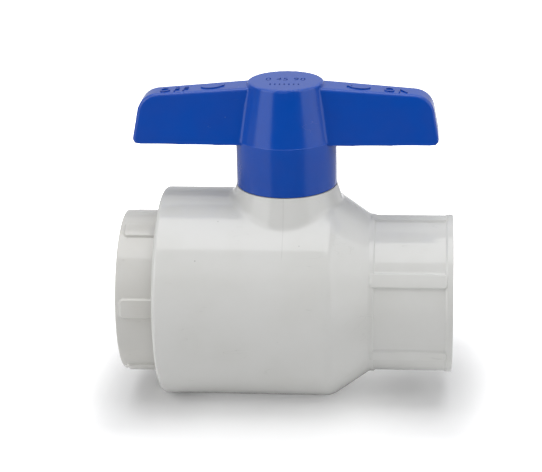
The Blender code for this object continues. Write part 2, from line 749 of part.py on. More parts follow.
def wing_outline():
    tip_top = wing_top(wing_tip(wing_top(WING_HALF_LENGTH)))
    return rounded(
        [
            (WING_START, WING_BOTTOM, 0),
            (WING_HALF_LENGTH, WING_BOTTOM, WING_BOTTOM_CORNER_ROUND),
            (wing_tip(tip_top), tip_top, WING_TOP_CORNER_ROUND),
            (WING_START, wing_top(WING_START), 0),
        ],
        closed=True,
    )


def wing_plan(z):
    """The wing seen from above at one height, with a round blend on each side where it meets the hub."""
    turn = math.radians(WING_TAPER_DEG)
    middle_v = wing_half_thickness(0, z) * math.cos(turn) + WING_ROOT_ROUND
    to_middle = hub_outside_radius(z) - WING_ROOT_SINK + WING_ROOT_ROUND
    middle_u = math.sqrt(to_middle**2 - middle_v**2)
    first = math.atan2(middle_v, middle_u) - math.pi
    blend = []
    for step in range(WING_ROOT_STEPS + 1):
        angle = first + (-math.pi / 2 - first) * step / WING_ROOT_STEPS
        u = middle_u + WING_ROOT_ROUND * math.cos(angle)
        v = middle_v + WING_ROOT_ROUND * math.sin(angle)
        blend.append((u * math.cos(turn) + v * math.sin(turn), v * math.cos(turn) - u * math.sin(turn)))
    past_tip = WING_HALF_LENGTH + CUT_PAST
    side = [(WING_START, blend[0][1])] + blend + [(past_tip, wing_half_thickness(past_tip, z))]
    return side + [(x, -y) for x, y in reversed(side)]


def make_wing(tools):
    """The wing's side outline, cut to its tapered and drafted plan, with its edges rounded."""
    wing = extruded("wing", wing_outline(), -HUB_BASE_RADIUS, HUB_BASE_RADIUS, tools)
    wing.rotation_euler.x = math.pi / 2
    low = WING_BOTTOM - CUT_PAST
    high = wing_top(WING_START) + CUT_PAST
    plan = lofted("wing_plan", wing_plan(low), low, wing_plan(high), high, tools)
    combine(wing, "INTERSECT", as_tool(plan))
    round_edges(wing, WING_EDGE_ROUND)
    settle(wing)
    return wing


def pocket_outlines():
    """Hollows under one wing, open below, with webs between them and the hub's wall at their inner end."""
    first = HUB_BASE_RADIUS + WING_WEB
    bottom = WING_BOTTOM - CUT_PAST
    room = wing_tip(wing_top(WING_HALF_LENGTH)) - WING_WALL - first
    step = (room + WING_WEB) / WING_POCKETS
    for index in range(WING_POCKETS):
        low = first + index * step
        high = low + step - WING_WEB
        corner = WING_TOP_CORNER_ROUND - WING_WALL if index == WING_POCKETS - 1 else 0
        yield rounded(
            [
                (low, bottom, 0),
                (high, bottom, 0),
                (high, wing_top(high) - WING_WALL, corner),
                (low, wing_top(low) - WING_WALL, 0),
            ],
            closed=True,
        )


def opposite(obj, collection):
    """The same shape half a turn round the stem."""
    copy = place(obj.name + "_opposite", obj.data, collection)
    copy.rotation_euler = obj.rotation_euler
    copy.rotation_euler.z = math.pi
    return copy


def round_edges(obj, width):
    bevel = obj.modifiers.new("rounding", "BEVEL")
    bevel.width = width
    bevel.segments = 2
    bevel.limit_method = "ANGLE"
    bevel.angle_limit = math.radians(SHARP_ANGLE_DEG)


def make_handle(parts, tools, material, axis):
    handle = turned("handle", hub_outside(), False, BODY_STEPS, parts)
    wing = make_wing(tools)
    for one in (wing, opposite(wing, tools)):
        combine(handle, "UNION", as_tool(one))
    hollow = turned("hub_hollow", hub_inside(), False, BODY_STEPS, tools)
    combine(handle, "DIFFERENCE", as_tool(hollow))
    for number, outline in enumerate(pocket_outlines(), 1):
        pocket = inside_wing(f"wing_pocket_{number}", outline, tools)
        for one in (pocket, opposite(pocket, tools)):
            combine(handle, "DIFFERENCE", as_tool(one))
    for side in (0, 180):
        outline = sector(BOSS_RADIUS - STOP_INSET, SKIRT_INNER_RADIUS + STOP_INSET, side, STOP_SPAN_DEG)
        stop = extruded(f"handle_stop_{side}", outline, TOWER_TOP + FIT_GAP, SKIRT_TOP - ROOT, tools)
        combine(handle, "UNION", as_tool(stop))
    socket = extruded("drive_socket", double_d(FIT_GAP), BOSS_BOTTOM - CUT_PAST, STEM_TOP + FIT_GAP, tools)
    combine(handle, "DIFFERENCE", as_tool(socket))
    finish(handle, material, axis)


def joint_axis(name, collection):
    empty = bpy.data.objects.new(name, None)
    empty.empty_display_type = "SINGLE_ARROW"
    empty.empty_display_size = HUB_TOP
    collection.objects.link(empty)
    return empty


def main():
    clear_scene()
    parts = new_collection("ball_valve")
    tools = new_collection("cutters_and_joined_shapes")
    white = plastic("white_plastic", WHITE_PLASTIC, 0.35)
    warm_white = plastic("warm_white_plastic", WARM_WHITE_PLASTIC, 0.38)
    blue = plastic("blue_plastic", BLUE_PLASTIC, 0.40)
    seat_white = plastic("seat_plastic", SEAT_PLASTIC, 0.45)
    grey = plastic("stem_plastic", STEM_PLASTIC, 0.45)
    rubber = plastic("black_rubber", BLACK_RUBBER, 0.70)
    handle_axis = joint_axis("handle_turn_axis", parts)
    ball_axis = joint_axis("ball_turn_axis", parts)
    make_body(parts, tools, white)
    make_connector(parts, tools, warm_white)
    make_ball(parts, tools, white, ball_axis)
    make_seats(parts, seat_white)
    make_body_rings(parts, rubber)
    make_washer(parts, seat_white)
    make_stem(parts, tools, grey, handle_axis)
    make_stem_rings(parts, rubber, handle_axis)
    make_handle(parts, tools, blue, handle_axis)


main()
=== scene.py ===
"""The looks of a compact plastic ball valve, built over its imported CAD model.

The pipe runs along X, the stem stands along Z and the middle of the ball is the origin.
Sizes are in metres. An angle about the pipe is counted from +Z towards +Y.
"""

import math

import bmesh
import bpy
import numpy as np
from mathutils import Matrix, Vector


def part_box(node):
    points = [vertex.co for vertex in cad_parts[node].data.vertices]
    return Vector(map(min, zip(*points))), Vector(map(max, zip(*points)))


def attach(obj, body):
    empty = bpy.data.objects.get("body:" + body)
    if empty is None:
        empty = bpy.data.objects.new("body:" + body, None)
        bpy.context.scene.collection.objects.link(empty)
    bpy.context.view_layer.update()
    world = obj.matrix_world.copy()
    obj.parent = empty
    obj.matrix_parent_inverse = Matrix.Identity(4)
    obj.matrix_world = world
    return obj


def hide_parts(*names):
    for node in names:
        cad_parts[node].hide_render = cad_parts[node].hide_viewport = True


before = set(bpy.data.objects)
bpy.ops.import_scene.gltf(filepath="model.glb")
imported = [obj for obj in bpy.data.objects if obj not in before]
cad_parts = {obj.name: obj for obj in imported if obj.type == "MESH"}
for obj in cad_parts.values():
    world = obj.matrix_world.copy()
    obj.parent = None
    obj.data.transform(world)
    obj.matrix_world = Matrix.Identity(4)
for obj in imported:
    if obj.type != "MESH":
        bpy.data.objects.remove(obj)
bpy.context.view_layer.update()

# Sizes that the frame gives
BODY_LOW, BODY_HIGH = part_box("valve_body")
CONNECTOR_LOW, CONNECTOR_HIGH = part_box("end_connector")
HANDLE_LOW, HANDLE_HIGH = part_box("handle")
SEAT_LOW, SEAT_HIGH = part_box("outlet_seat")
BALL_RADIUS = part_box("ball")[1].y
END_FACE = BODY_HIGH.x
BODY_FACE = -BODY_LOW.x
BODY_RADIUS = BODY_HIGH.y
STOP_TOP = BODY_HIGH.z
SPIGOT_RADIUS = CONNECTOR_HIGH.y
POCKET_MOUTH = -CONNECTOR_HIGH.x
SKIRT_BOTTOM = HANDLE_LOW.z
HUB_TOP = HANDLE_HIGH.z
SEAT_FRONT = SEAT_LOW.x
SEAT_BACK = SEAT_HIGH.x
SEAT_RADIUS = SEAT_HIGH.y
FLOOR_HEIGHT = BODY_LOW.z

# Clearance between pieces, and the small rounding of a moulded edge
FIT_GAP = 0.0003
NECK_GAP = 0.0001
EDGE = 0.0003

# Sockets and what lies between them
SOCKET_MOUTH_RADIUS = 0.01683
SOCKET_FLOOR_RADIUS = 0.01664
SOCKET_DEPTH = 0.0222
SOCKET_MOUTH_CHAMFER = 0.0006
SOCKET_FLOOR_WALL = 0.0040
PORT_RADIUS = 0.0125
SLOT_HALF_WIDTH = 0.0025
SLOT_FLOOR = 0.0142
WATERWAY_RADIUS = 0.0127
CAVITY_RADIUS = 0.0215
CAVITY_ROUND = 0.0020
SOCKET_FLOOR = END_FACE - SOCKET_DEPTH
POCKET_FLOOR = SOCKET_FLOOR - SOCKET_FLOOR_WALL
POCKET_RADIUS = SEAT_RADIUS + FIT_GAP
BORE_RADIUS = SPIGOT_RADIUS + FIT_GAP
CONNECTOR_STOP = POCKET_MOUTH - FIT_GAP

# End connector
BARREL_RADIUS = 0.0213
FLANGE_RECESS = 0.0010
FLANGE_FACE = BODY_FACE - FLANGE_RECESS
RING_GROOVE_RADIUS = 0.0205
RING_GROOVE_LOW = -0.017983
RING_GROOVE_HIGH = -0.014983
BARREL_RIB_WIDTH = 0.0050
BARREL_RIB_SETBACK = 0.0011
BARREL_RIB_TURN = math.radians(-22)

# Body
BODY_RIM_ROUND = 0.0013
SHOULDER_SLOPE = math.radians(34.5)
SHOULDER_ROUND = 0.0060
COLLAR_RADIUS = 0.02098
COLLAR_START = 0.021800
COLLAR_END = 0.022983
COLLAR_FLARE = 0.0003
COLLAR_ROOT_ROUND = 0.0012
PANEL_RADIUS = 0.02065
BEAD_RADIUS = 0.0209
BEAD_LENGTH = 0.0015
BEAD_FLARE = 0.0005
OUTLET_RIB_WIDTH = 0.0037
OUTLET_RIB_SETBACK = 0.0013
RIB_HEIGHT = 0.0006
RIB_COUNT = 6
RIB_SOFTNESS = 0.0005
RIB_CORNER = 0.0010
SHOULDER_START = COLLAR_START - (BODY_RADIUS - COLLAR_RADIUS) / math.tan(SHOULDER_SLOPE)

# Neck, the tower inside the handle's skirt, the stem's bore and the quarter-turn stops
NECK_TOP = SKIRT_BOTTOM - NECK_GAP
NECK_TOP_RADIUS = 0.013175
NECK_FLARE = math.radians(18)
NECK_ROUND = 0.0020
TOWER_RADIUS = 0.0103
TOWER_TOP = 0.0370
STEM_BORE_RADIUS = 0.0064
FLANGE_CHAMBER_RADIUS = 0.0085
THRUST_FACE = 0.0223
STOP_INSET = 0.0005
STOP_TURN = math.radians(45)
STOP_SPAN = math.radians(43)

# Handle
SKIRT_INNER_RADIUS = 0.0108
SKIRT_TOP_RADIUS = 0.01303
SKIRT_BOTTOM_RADIUS = 0.013075
SKIRT_TOP = 0.0436
HUB_BASE_RADIUS = 0.01292
HUB_TOP_RADIUS = 0.00972
HUB_TOP_EDGE = 0.0004
HUB_WALL = 0.0021
HUB_STEP = 0.00008
HUB_STEP_ROUND = 0.0001
HUB_PROUD = 0.00002
CORE_RADIUS = 0.001
BOSS_RADIUS = 0.0080
BOSS_MOAT = 0.0010
BOSS_BOTTOM = STOP_TOP + FIT_GAP
DRIVE_RADIUS = 0.0060
DRIVE_HALF_FLAT = 0.0045
DRIVE_TOP = 0.0543
WING_BOTTOM = 0.04265
WING_HALF_LENGTH = 0.0396
WING_ROOT_TOP = 0.05795
WING_ROOT_HALF_THICKNESS = 0.0075
WING_FALL = math.radians(4.4)
WING_TAPER = math.radians(2.5)
WING_DRAFT = math.radians(10.8)
WING_TIP_DRAFT = math.radians(10)
WING_TOP_CORNER_ROUND = 0.0055
WING_BOTTOM_CORNER_ROUND = 0.0014
WING_EDGE_ROUND = 0.0009
WING_BOTTOM_ROUND = 0.0003
WING_EDGE_REACH = 0.0060
WING_START = 0.0080
WING_ROOT_ROUND = 0.0013
WING_ROOT_FADE = 0.0050
WING_ROOT_LEAST = 0.05
WING_WALL = 0.0019
WING_WEB = 0.0016
WING_POCKETS = 3

# Raised marks on the wings
MARK_HEIGHT = 0.00028
MARK_ROOT = 0.0003
MARK_FORWARD = -0.0008
LETTER_SIZE = 0.0044
LETTER_SLIMNESS = 0.82
LETTER_SPACING = 1.35
OFF_PLACE = -0.0287
ON_PLACE = 0.0283
ARROW_PLACE = 0.0190
ARROW_FORWARD = 0.0010
ARROW_RADIUS = 0.0029
ARROW_SPAN = math.radians(125)
ARROW_WIDTH = 0.0006
ARROW_HEAD_WIDTH = 0.0016
ARROW_HEAD_LENGTH = 0.0015
DIAL_DEPTH = 0.00022
DIAL_SIZE = 0.0036
DIAL_SPACING = 1.15
DIAL_BACK = 0.0012
DIAL_TICKS = 7
DIAL_TICK_PITCH = 0.0012
DIAL_TICK_WIDTH = 0.00035
DIAL_TICK_LENGTH = 0.0011
DIAL_TICK_PLACE = 0.0042
GATE_HALF_CHORD = 0.0032
GATE_DROP = 0.0009
GATE_LEAN = math.radians(45)

# Fineness of the meshes
ARC_STEP = math.radians(9)
ARROW_STEPS = 19
SEAT_FACE_STEPS = 8
RIB_EDGE_STEPS = 16
RIB_EDGE_CLEAR = 0.15
ROUND_STEPS = 240
BALL_STEPS = 160
NECK_ROWS = 80
NECK_RINGS = 30
NECK_ROUNDS = 48
WINDOW_LOW = -0.0200
WINDOW_HIGH = 0.0203
WINDOW_TURN = math.radians(45)
HANDLE_PITCH = 0.00042
HANDLE_ROUNDS = 6
DRAW_ROUNDS = 4
LEAST_STEEPNESS = 0.25
MOST_ALIKE = 0.9
NUDGE = 0.00001
WELD = 0.000001
SHARP_ANGLE = math.radians(35)
CUT_PAST = 0.0020

# Camera, from the photograph's perspective
CAMERA_PLACE = Vector((0.034622, -0.430532, 0.177410))
CAMERA_RIGHT = Vector((0.99629, 0.08383, -0.01941))
CAMERA_UP = Vector((-0.01125, 0.35051, 0.93649))
FOCAL_PIXELS = 1742.9
CAMERA_SHIFT_PIXELS = (0.95, -0.90)
IMAGE_WIDTH = 542
SENSOR_WIDTH = 36.0
CLIP_START = 0.01

# Floor: where it is lifted to white, held lower around the object as a painted shadow, as distances at which
# that starts and is full
FLOOR_SIZE = 8
FLOOR_WHITE = (0.88, 0.88, 0.88, 1)
LIFT_UNDER = 0.27
LIFT_FRONT = 0.11
LIFT_UNDER_ACROSS = (0.007, 0.042)
# Where the lift drops further under the pipe's ends, which paints a deeper shadow there
PAINTED_SHADOW_ENDS_ALONG = (0.016, 0.043)
PAINTED_SHADOW_ENDS_ACROSS = (0.040, 0.026)
LIFT_ALONG = (0.042, 0.080)
LIFT_ACROSS = (0.036, 0.070)
LIFT_MIRRORED = 0.10

# Dark cards that only reflections see
FLAG_LIFT = 0.0005
FLAG_FADE = (0.036, 0.010)
FLAG_NEAR = 0.10
FLAG_FAR = 0.40
FLAG_TOP = 0.27
FLAG_SIDES = (-0.62, 1.00)
FLAG_GREY = 0.48
SIDE_FLAG = (0.085, -0.30, 0.45, 0.30)

# Room light, and how far back and how high the wall and the ceiling begin and are full
ROOM_LEVEL = 0.18
WALL_LEVEL = 0.58
WALL_FROM = (0.55, 0.85)
CEILING_LEVEL = 0.43
CEILING_FROM = (0.36, 0.66)
WORLD_TINT = (0.985, 0.992, 1.025)
SOFTBOX_DISTANCE = 0.80

# Each softbox: name, azimuth and elevation in degrees, size, and radiance
SOFTBOXES = (
    ("overhead_softbox", 0, 87.4, (0.76, 0.64), 2.12),
    ("back_softbox", 180, 46, (0.80, 0.36), 0.62),
    ("left_low_softbox", -53, 8, (0.58, 0.36), 1.15),
    ("left_softbox", -53, 33, (0.58, 0.36), 2.20),
    ("left_high_softbox", -95, 52, (0.50, 0.40), 0.60),
    ("right_low_softbox", 75, 8, (0.76, 0.36), 0.85),
    ("right_softbox", 75, 33, (0.76, 0.36), 1.40),
    ("right_high_softbox", 60, 54, (0.50, 0.40), 0.30),
    ("right_back_softbox", 125, 40, (0.50, 0.50), 0.45),
)

# Each finish: colour and the shade of its clouds in linear light, roughness, specular level, rarity of specks
FINISHES = {
    "white_moulding": ((0.632, 0.632, 0.612), (0.607, 0.607, 0.582), 0.10, 0.5, 0.72),
    "warm_white_moulding": ((0.610, 0.603, 0.575), (0.585, 0.575, 0.540), 0.12, 0.5, 0.72),
    # The blue's clouds turn paler and greyer in patches: partly random tone, partly a painted reflection
    "blue_moulding": ((0.0012, 0.065, 0.405), (0.0080, 0.062, 0.375), 0.20, 0.5, 0.97),
    "seat_moulding": ((0.86, 0.86, 0.83), (0.80, 0.80, 0.76), 0.40, 0.5, 0.95),
    "stem_moulding": ((0.55, 0.56, 0.57), (0.49, 0.50, 0.51), 0.42, 0.5, 0.95),
    "rubber": ((0.020, 0.020, 0.020), (0.030, 0.029, 0.028), 0.65, 0.4, 0.99),
}

# Rubber pieces that are shown as the CAD model has them
RUBBER_RINGS = (
    "inlet_seat_cushion",
    "outlet_seat_cushion",
    "connector_o_ring",
    "lower_stem_o_ring",
    "upper_stem_o_ring",
)

# Fine looks: scales of the patterns, where they begin and are full, and how much each one shows
CLOUD_SCALE = 55
CLOUD_FROM = (0.35, 0.70)
SCRATCH_SCALE = 160
SCRATCH_STRETCH = (0.4, 2.0, 2.0)
SCRATCH_EDGE = (0.010, 0.002)
SCRATCH_PATCH_SCALE = 112
SCRATCH_PATCH_FROM = (0.56, 0.66)
SCRATCH_SHARE = 0.35
SCRATCH_BRIGHTNESS = 0.8
SCRATCH_ROUGHNESS = 0.08
SCRATCH_HEIGHT = -0.3
SPECK_SCALE = 190
SPECK_SIZE = 0.042
SPECK_SHARE = 0.60
SPECK_BRIGHTNESS = 0.35
GLOSS_SCALE = 150
GLOSS_FROM = (0.3, 0.7)
GLOSS_SPREAD = (-0.02, 0.03)
SKIN_SCALE = 700
GRAIN_SCALE = 4200
GRAIN_SHARE = 0.20
SEAM_EDGE = (0.00012, 0.00004)
SEAM_FOOT = (0.0165, 0.0185)
SEAM_SHARE = 0.35
SEAM_BRIGHTNESS = 0.7
SEAM_HEIGHT = -2.0
BUMP_STRENGTH = 0.10
BUMP_DISTANCE = 0.00004


def rounded(corners, closed=True):
    """Points of an outline whose corners, given as (a, b, radius), are rounded with arcs."""
    points = []
    last = len(corners) - 1
    for index, (a, b, radius) in enumerate(corners):
        at_an_end = not closed and index in (0, last)
        if radius == 0 or at_an_end:
            points.append((a, b))
            continue
        here = Vector((a, b))
        to_before = Vector(corners[index - 1][:2]) - here
        to_after = Vector(corners[(index + 1) % len(corners)][:2]) - here
        half = to_before.angle(to_after) / 2
        reach = min(radius / math.tan(half), to_before.length / 2, to_after.length / 2)
        inwards = (to_before.normalized() + to_after.normalized()).normalized()
        middle = here + inwards * (reach / math.cos(half))
        start = here + to_before.normalized() * reach - middle
        end = here + to_after.normalized() * reach - middle
        turn = math.atan2(start.x * end.y - start.y * end.x, start.dot(end))
        steps = max(2, math.ceil(abs(turn) / ARC_STEP))
        for step in range(steps + 1):
            points.append(tuple(middle + Matrix.Rotation(turn * step / steps, 2) @ start))
    return points


class MeshMaker:
    """Collects points and faces, and makes one closed mesh object of them."""

    def __init__(self):
        self.points = []
        self.faces = []
        self.count = 0

    def add(self, x, y, z):
        """Adds a row of points and gives their numbers."""
        row = np.stack(np.broadcast_arrays(x, y, z), -1).reshape(-1, 3)
        self.points.append(row)
        first = self.count
        self.count += len(row)
        return np.arange(first, self.count)

    def strip(self, one, other, keep=slice(None)):
        """Four-sided faces between two closed rows with as many points in each."""
        faces = np.stack([one, np.roll(one, -1), np.roll(other, -1), other], -1)
        self.faces.extend(faces[keep].tolist())

    def fan(self, row, middle):
        self.faces.extend([a, b, int(middle[0])] for a, b in zip(row.tolist(), np.roll(row, -1).tolist()))

    def build(self, name):
        work = bmesh.new()
        made = [work.verts.new(point) for point in np.concatenate(self.points)]
        for face in self.faces:
            work.faces.new([made[number] for number in face])
        unused = [vertex for vertex in work.verts if not vertex.link_faces]
        bmesh.ops.delete(work, geom=unused, context="VERTS")
        bmesh.ops.recalc_face_normals(work, faces=work.faces)
        return place_work(name, work)


def place(name, data):
    obj = bpy.data.objects.new(name, data)
    bpy.context.scene.collection.objects.link(obj)
    return obj


def place_work(name, work):
    mesh = bpy.data.meshes.new(name)
    work.to_mesh(mesh)
    work.free()
    return place(name, mesh)


def combine(target, operation, tool):
    """Joins or cuts a piece with a tool, which is used up."""
    modifier = target.modifiers.new(operation, "BOOLEAN")
    modifier.operation = operation
    modifier.object = tool
    modifier.solver = "MANIFOLD"
    bpy.context.view_layer.update()
    graph = bpy.context.evaluated_depsgraph_get()
    mesh = bpy.data.meshes.new_from_object(target.evaluated_get(graph))
    target.modifiers.clear()
    target.data = mesh
    bpy.data.objects.remove(tool)


def dress(obj, body, material, replaced=None):
    """Shades a piece smooth between its sharp edges, gives it its material and body, and hides the CAD part
    it replaces.
    """
    obj.data.materials.clear()
    obj.data.materials.append(material)
    obj.data.shade_smooth()
    obj.data.set_sharp_from_angle(angle=SHARP_ANGLE)
    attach(obj, body)
    if replaced:
        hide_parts(replaced)


def about_pipe(x, radius, turn):
    return x, radius * np.sin(turn), radius * np.cos(turn)


def turned_about_pipe(name, profile, turns, lift=None):
    """A closed profile of (x, radius) points turned about the pipe, raised here and there by a lift."""
    maker = MeshMaker()
    rows = []
    for x, radius in profile:
        radii = radius if lift is None else lift(x, radius, turns)
        rows.append(maker.add(*about_pipe(np.full(len(turns), x), radii, turns)))
    for one, other in zip(rows, rows[1:] + rows[:1]):
        maker.strip(one, other)
    return maker.build(name)


def turned_about_stem(name, profile, steps=ROUND_STEPS):
    """A profile of (radius, height) points turned about the stem, closed on the axis at both ends."""
    maker = MeshMaker()
    turns = np.linspace(0, 2 * math.pi, steps, endpoint=False)
    rows = [maker.add(radius * np.cos(turns), radius * np.sin(turns), height) for radius, height in profile]
    for one, other in zip(rows, rows[1:]):
        maker.strip(one, other)
    for row, (radius, height) in ((rows[0], profile[0]), (rows[-1], profile[-1])):
        maker.fan(row, maker.add(0, 0, height))
    return maker.build(name)


def prism(name, outline, low, high):
    """A closed outline of (x, y) points drawn up from one height to another."""
    work = bmesh.new()
    bottom = [work.verts.new((x, y, low)) for x, y in outline]
    top = [work.verts.new((x, y, high)) for x, y in outline]
    work.faces.new(bottom)
    work.faces.new(top)
    for index in range(len(outline)):
        before = index - 1
        work.faces.new((bottom[before], bottom[index], top[index], top[before]))
    bmesh.ops.recalc_face_normals(work, faces=work.faces)
    bmesh.ops.triangulate(work, faces=work.faces)
    return place_work(name, work)


def rectangle(low_x, low_y, high_x, high_y):
    return [(low_x, low_y), (high_x, low_y), (high_x, high_y), (low_x, high_y)]


def sector(inner, outer, middle, span):
    """Outline of a slice of a ring about the stem."""
    angles = np.linspace(middle - span / 2, middle + span / 2, 1 + math.ceil(span / ARC_STEP))
    outer_arc = [(outer * math.cos(angle), outer * math.sin(angle)) for angle in angles]
    inner_arc = [(inner * math.cos(angle), inner * math.sin(angle)) for angle in reversed(angles)]
    return outer_arc + inner_arc


def round_overlap(a, b, radius, lean=0.0):
    """Distance to what two shapes share, with a rounded edge. Lean is the cosine between their normals."""
    u = a + radius
    v = b + radius
    spread = np.sqrt(np.maximum(u**2 + v**2 - 2 * lean * u * v, 0) / (1 - lean**2))
    on_edge = (u > lean * v) & (v > lean * u)
    return np.where(on_edge, spread - radius, np.maximum(a, b))


def round_union(a, b, radius, lean=0.0):
    """Distance to two joined shapes, with a round fillet where they meet."""
    return -round_overlap(-a, -b, radius, lean)


def soft_step(inside_by, softness):
    share = np.clip(inside_by / softness + 0.5, 0, 1)
    return share * share * (3 - 2 * share)


def rib_lift(base_radius, width, first_turn, x_low, x_high):
    """Raises a turned wall into ribs along the pipe, with softly rounded edges and ends."""
    pitch = 2 * math.pi / RIB_COUNT

    def lift(x, radius, turns):
        if not x_low <= x <= x_high or radius < base_radius - EDGE:
            return np.full(len(turns), radius)
        aside = np.abs((turns - first_turn + pitch / 2) % pitch - pitch / 2) * base_radius
        across = width / 2 - aside
        along = min(x - x_low, x_high - x) - RIB_SOFTNESS / 2
        past = np.hypot(np.maximum(RIB_CORNER - across, 0), max(RIB_CORNER - along, 0))
        inside_by = np.where(past > 0, RIB_CORNER - past, np.minimum(across, along))
        return np.maximum(radius, base_radius + RIB_HEIGHT * soft_step(inside_by, RIB_SOFTNESS))

    return lift


def rib_turns(base_radius, width, first_turn):
    """Angles about the pipe: even steps, and close ones where the ribs rise."""
    even = np.linspace(-math.pi, math.pi, ROUND_STEPS, endpoint=False)
    close = np.linspace(-RIB_CORNER - RIB_SOFTNESS / 2, RIB_SOFTNESS / 2, RIB_EDGE_STEPS)
    half = width / 2
    offsets = np.concatenate([-half - close, half + close]) / base_radius
    middles = first_turn + np.arange(RIB_COUNT) * 2 * math.pi / RIB_COUNT
    edges = (middles[:, None] + offsets[None, :]).ravel()
    edges = (edges + math.pi) % (2 * math.pi) - math.pi
    apart = np.abs(even[:, None] - edges[None, :]).min(1)
    clear = even[apart > RIB_EDGE_CLEAR * RIB_SOFTNESS / base_radius]
    return np.sort(np.concatenate([clear, edges]))


def rib_end_rows(rib_end, inward):
    """Places along the pipe, close together, where ribs rise at their ends."""
    return rib_end + inward * np.linspace(0, RIB_CORNER + RIB_SOFTNESS, RIB_EDGE_STEPS)


def with_rows(profile, extra):
    """Adds points to a profile's straight stretches, at the given places along the pipe."""
    rows = []
    for (x, radius), (next_x, next_radius) in zip(profile, profile[1:] + profile[:1]):
        rows.append((x, radius))
        between = [place_x for place_x in extra if min(x, next_x) < place_x < max(x, next_x)]
        for place_x in sorted(between, reverse=bool(next_x < x)):
            share = (place_x - x) / (next_x - x)
            rows.append((place_x, radius + (next_radius - radius) * share))
    return rows


def body_outside():
    """Profile from the barrel's inlet face, over the shoulder and the collar, to the outlet's mouth."""
    return rounded(
        [
            (-BODY_FACE, BORE_RADIUS, 0),
            (-BODY_FACE, BODY_RADIUS, BODY_RIM_ROUND),
            (SHOULDER_START, BODY_RADIUS, SHOULDER_ROUND),
            (COLLAR_START, COLLAR_RADIUS, COLLAR_ROOT_ROUND),
            (COLLAR_END, COLLAR_RADIUS, EDGE),
            (COLLAR_END + COLLAR_FLARE, PANEL_RADIUS, EDGE),
            (END_FACE - BEAD_LENGTH - BEAD_FLARE, PANEL_RADIUS, EDGE),
            (END_FACE - BEAD_LENGTH, BEAD_RADIUS, EDGE),
            (END_FACE, BEAD_RADIUS, EDGE),
            (END_FACE, SOCKET_MOUTH_RADIUS + SOCKET_MOUTH_CHAMFER, 0),
        ],
        closed=False,
    )


def body_inside():
    """Profile of the hollow, from the outlet's mouth back to the bore for the end connector."""
    return rounded(
        [
            (END_FACE - SOCKET_MOUTH_CHAMFER, SOCKET_MOUTH_RADIUS, 0),
            (SOCKET_FLOOR, SOCKET_FLOOR_RADIUS, EDGE),
            (SOCKET_FLOOR, WATERWAY_RADIUS, EDGE),
            (POCKET_FLOOR, WATERWAY_RADIUS, 0),
            (POCKET_FLOOR, POCKET_RADIUS, 0),
            (POCKET_MOUTH, POCKET_RADIUS, 0),
            (POCKET_MOUTH, CAVITY_RADIUS, CAVITY_ROUND),
            (-CONNECTOR_STOP, CAVITY_RADIUS, 0),
            (-CONNECTOR_STOP, BORE_RADIUS, 0),
        ],
        closed=False,
    )


def outside_radius(x):
    places, radii = np.array(body_outside()[1:-1]).T
    return np.interp(x, places, radii)


def neck_radius_about_pipe(x, turn):
    """How far from the pipe's axis the body lies near the neck, with a round blend between the two."""
    wall = outside_radius(x)
    slope = (outside_radius(x + NUDGE) - outside_radius(x - NUDGE)) / (2 * NUDGE)
    lean = 1 / np.sqrt(1 + slope**2)
    inner = wall - NECK_ROUND
    outer = np.full_like(wall, STOP_TOP)
    for _ in range(NECK_ROUNDS):
        radius = (inner + outer) / 2
        height = radius * np.cos(turn)
        from_stem = np.hypot(x, radius * np.sin(turn))
        neck = NECK_TOP_RADIUS + (NECK_TOP - height) * math.tan(NECK_FLARE)
        to_neck = (from_stem - neck) * math.cos(NECK_FLARE)
        across = (radius * np.sin(turn) ** 2 - slope * x) / from_stem
        alike = lean * (across * math.cos(NECK_FLARE) + np.cos(turn) * math.sin(NECK_FLARE))
        alike = np.minimum(alike, MOST_ALIKE)
        outside = round_union((radius - wall) * lean, to_neck, NECK_ROUND, alike) > 0
        outer = np.where(outside, radius, outer)
        inner = np.where(outside, inner, radius)
    return (inner + outer) / 2


def add_neck(maker, edge, edge_x, edge_turn):
    """Fills the hole left in the barrel with rings that run up to the neck's top, then adds the tower."""
    plan = np.arctan2(BODY_RADIUS * np.sin(edge_turn), edge_x)
    top_x = NECK_TOP_RADIUS * np.cos(plan)
    top_turn = np.arctan2(NECK_TOP_RADIUS * np.sin(plan), NECK_TOP)
    before = edge
    for share in np.linspace(1, 0, NECK_RINGS + 1)[1:] ** 2:
        x = top_x + (edge_x - top_x) * share
        turn = top_turn + (edge_turn - top_turn) * share
        ring = maker.add(*about_pipe(x, neck_radius_about_pipe(x, turn), turn))
        maker.strip(before, ring)
        before = ring
    tower = [(TOWER_RADIUS, NECK_TOP), (TOWER_RADIUS, TOWER_TOP - EDGE), (TOWER_RADIUS - EDGE, TOWER_TOP)]
    for radius, height in tower:
        ring = maker.add(radius * np.cos(plan), radius * np.sin(plan), height)
        maker.strip(before, ring)
        before = ring
    maker.fan(before, maker.add(0, 0, TOWER_TOP))


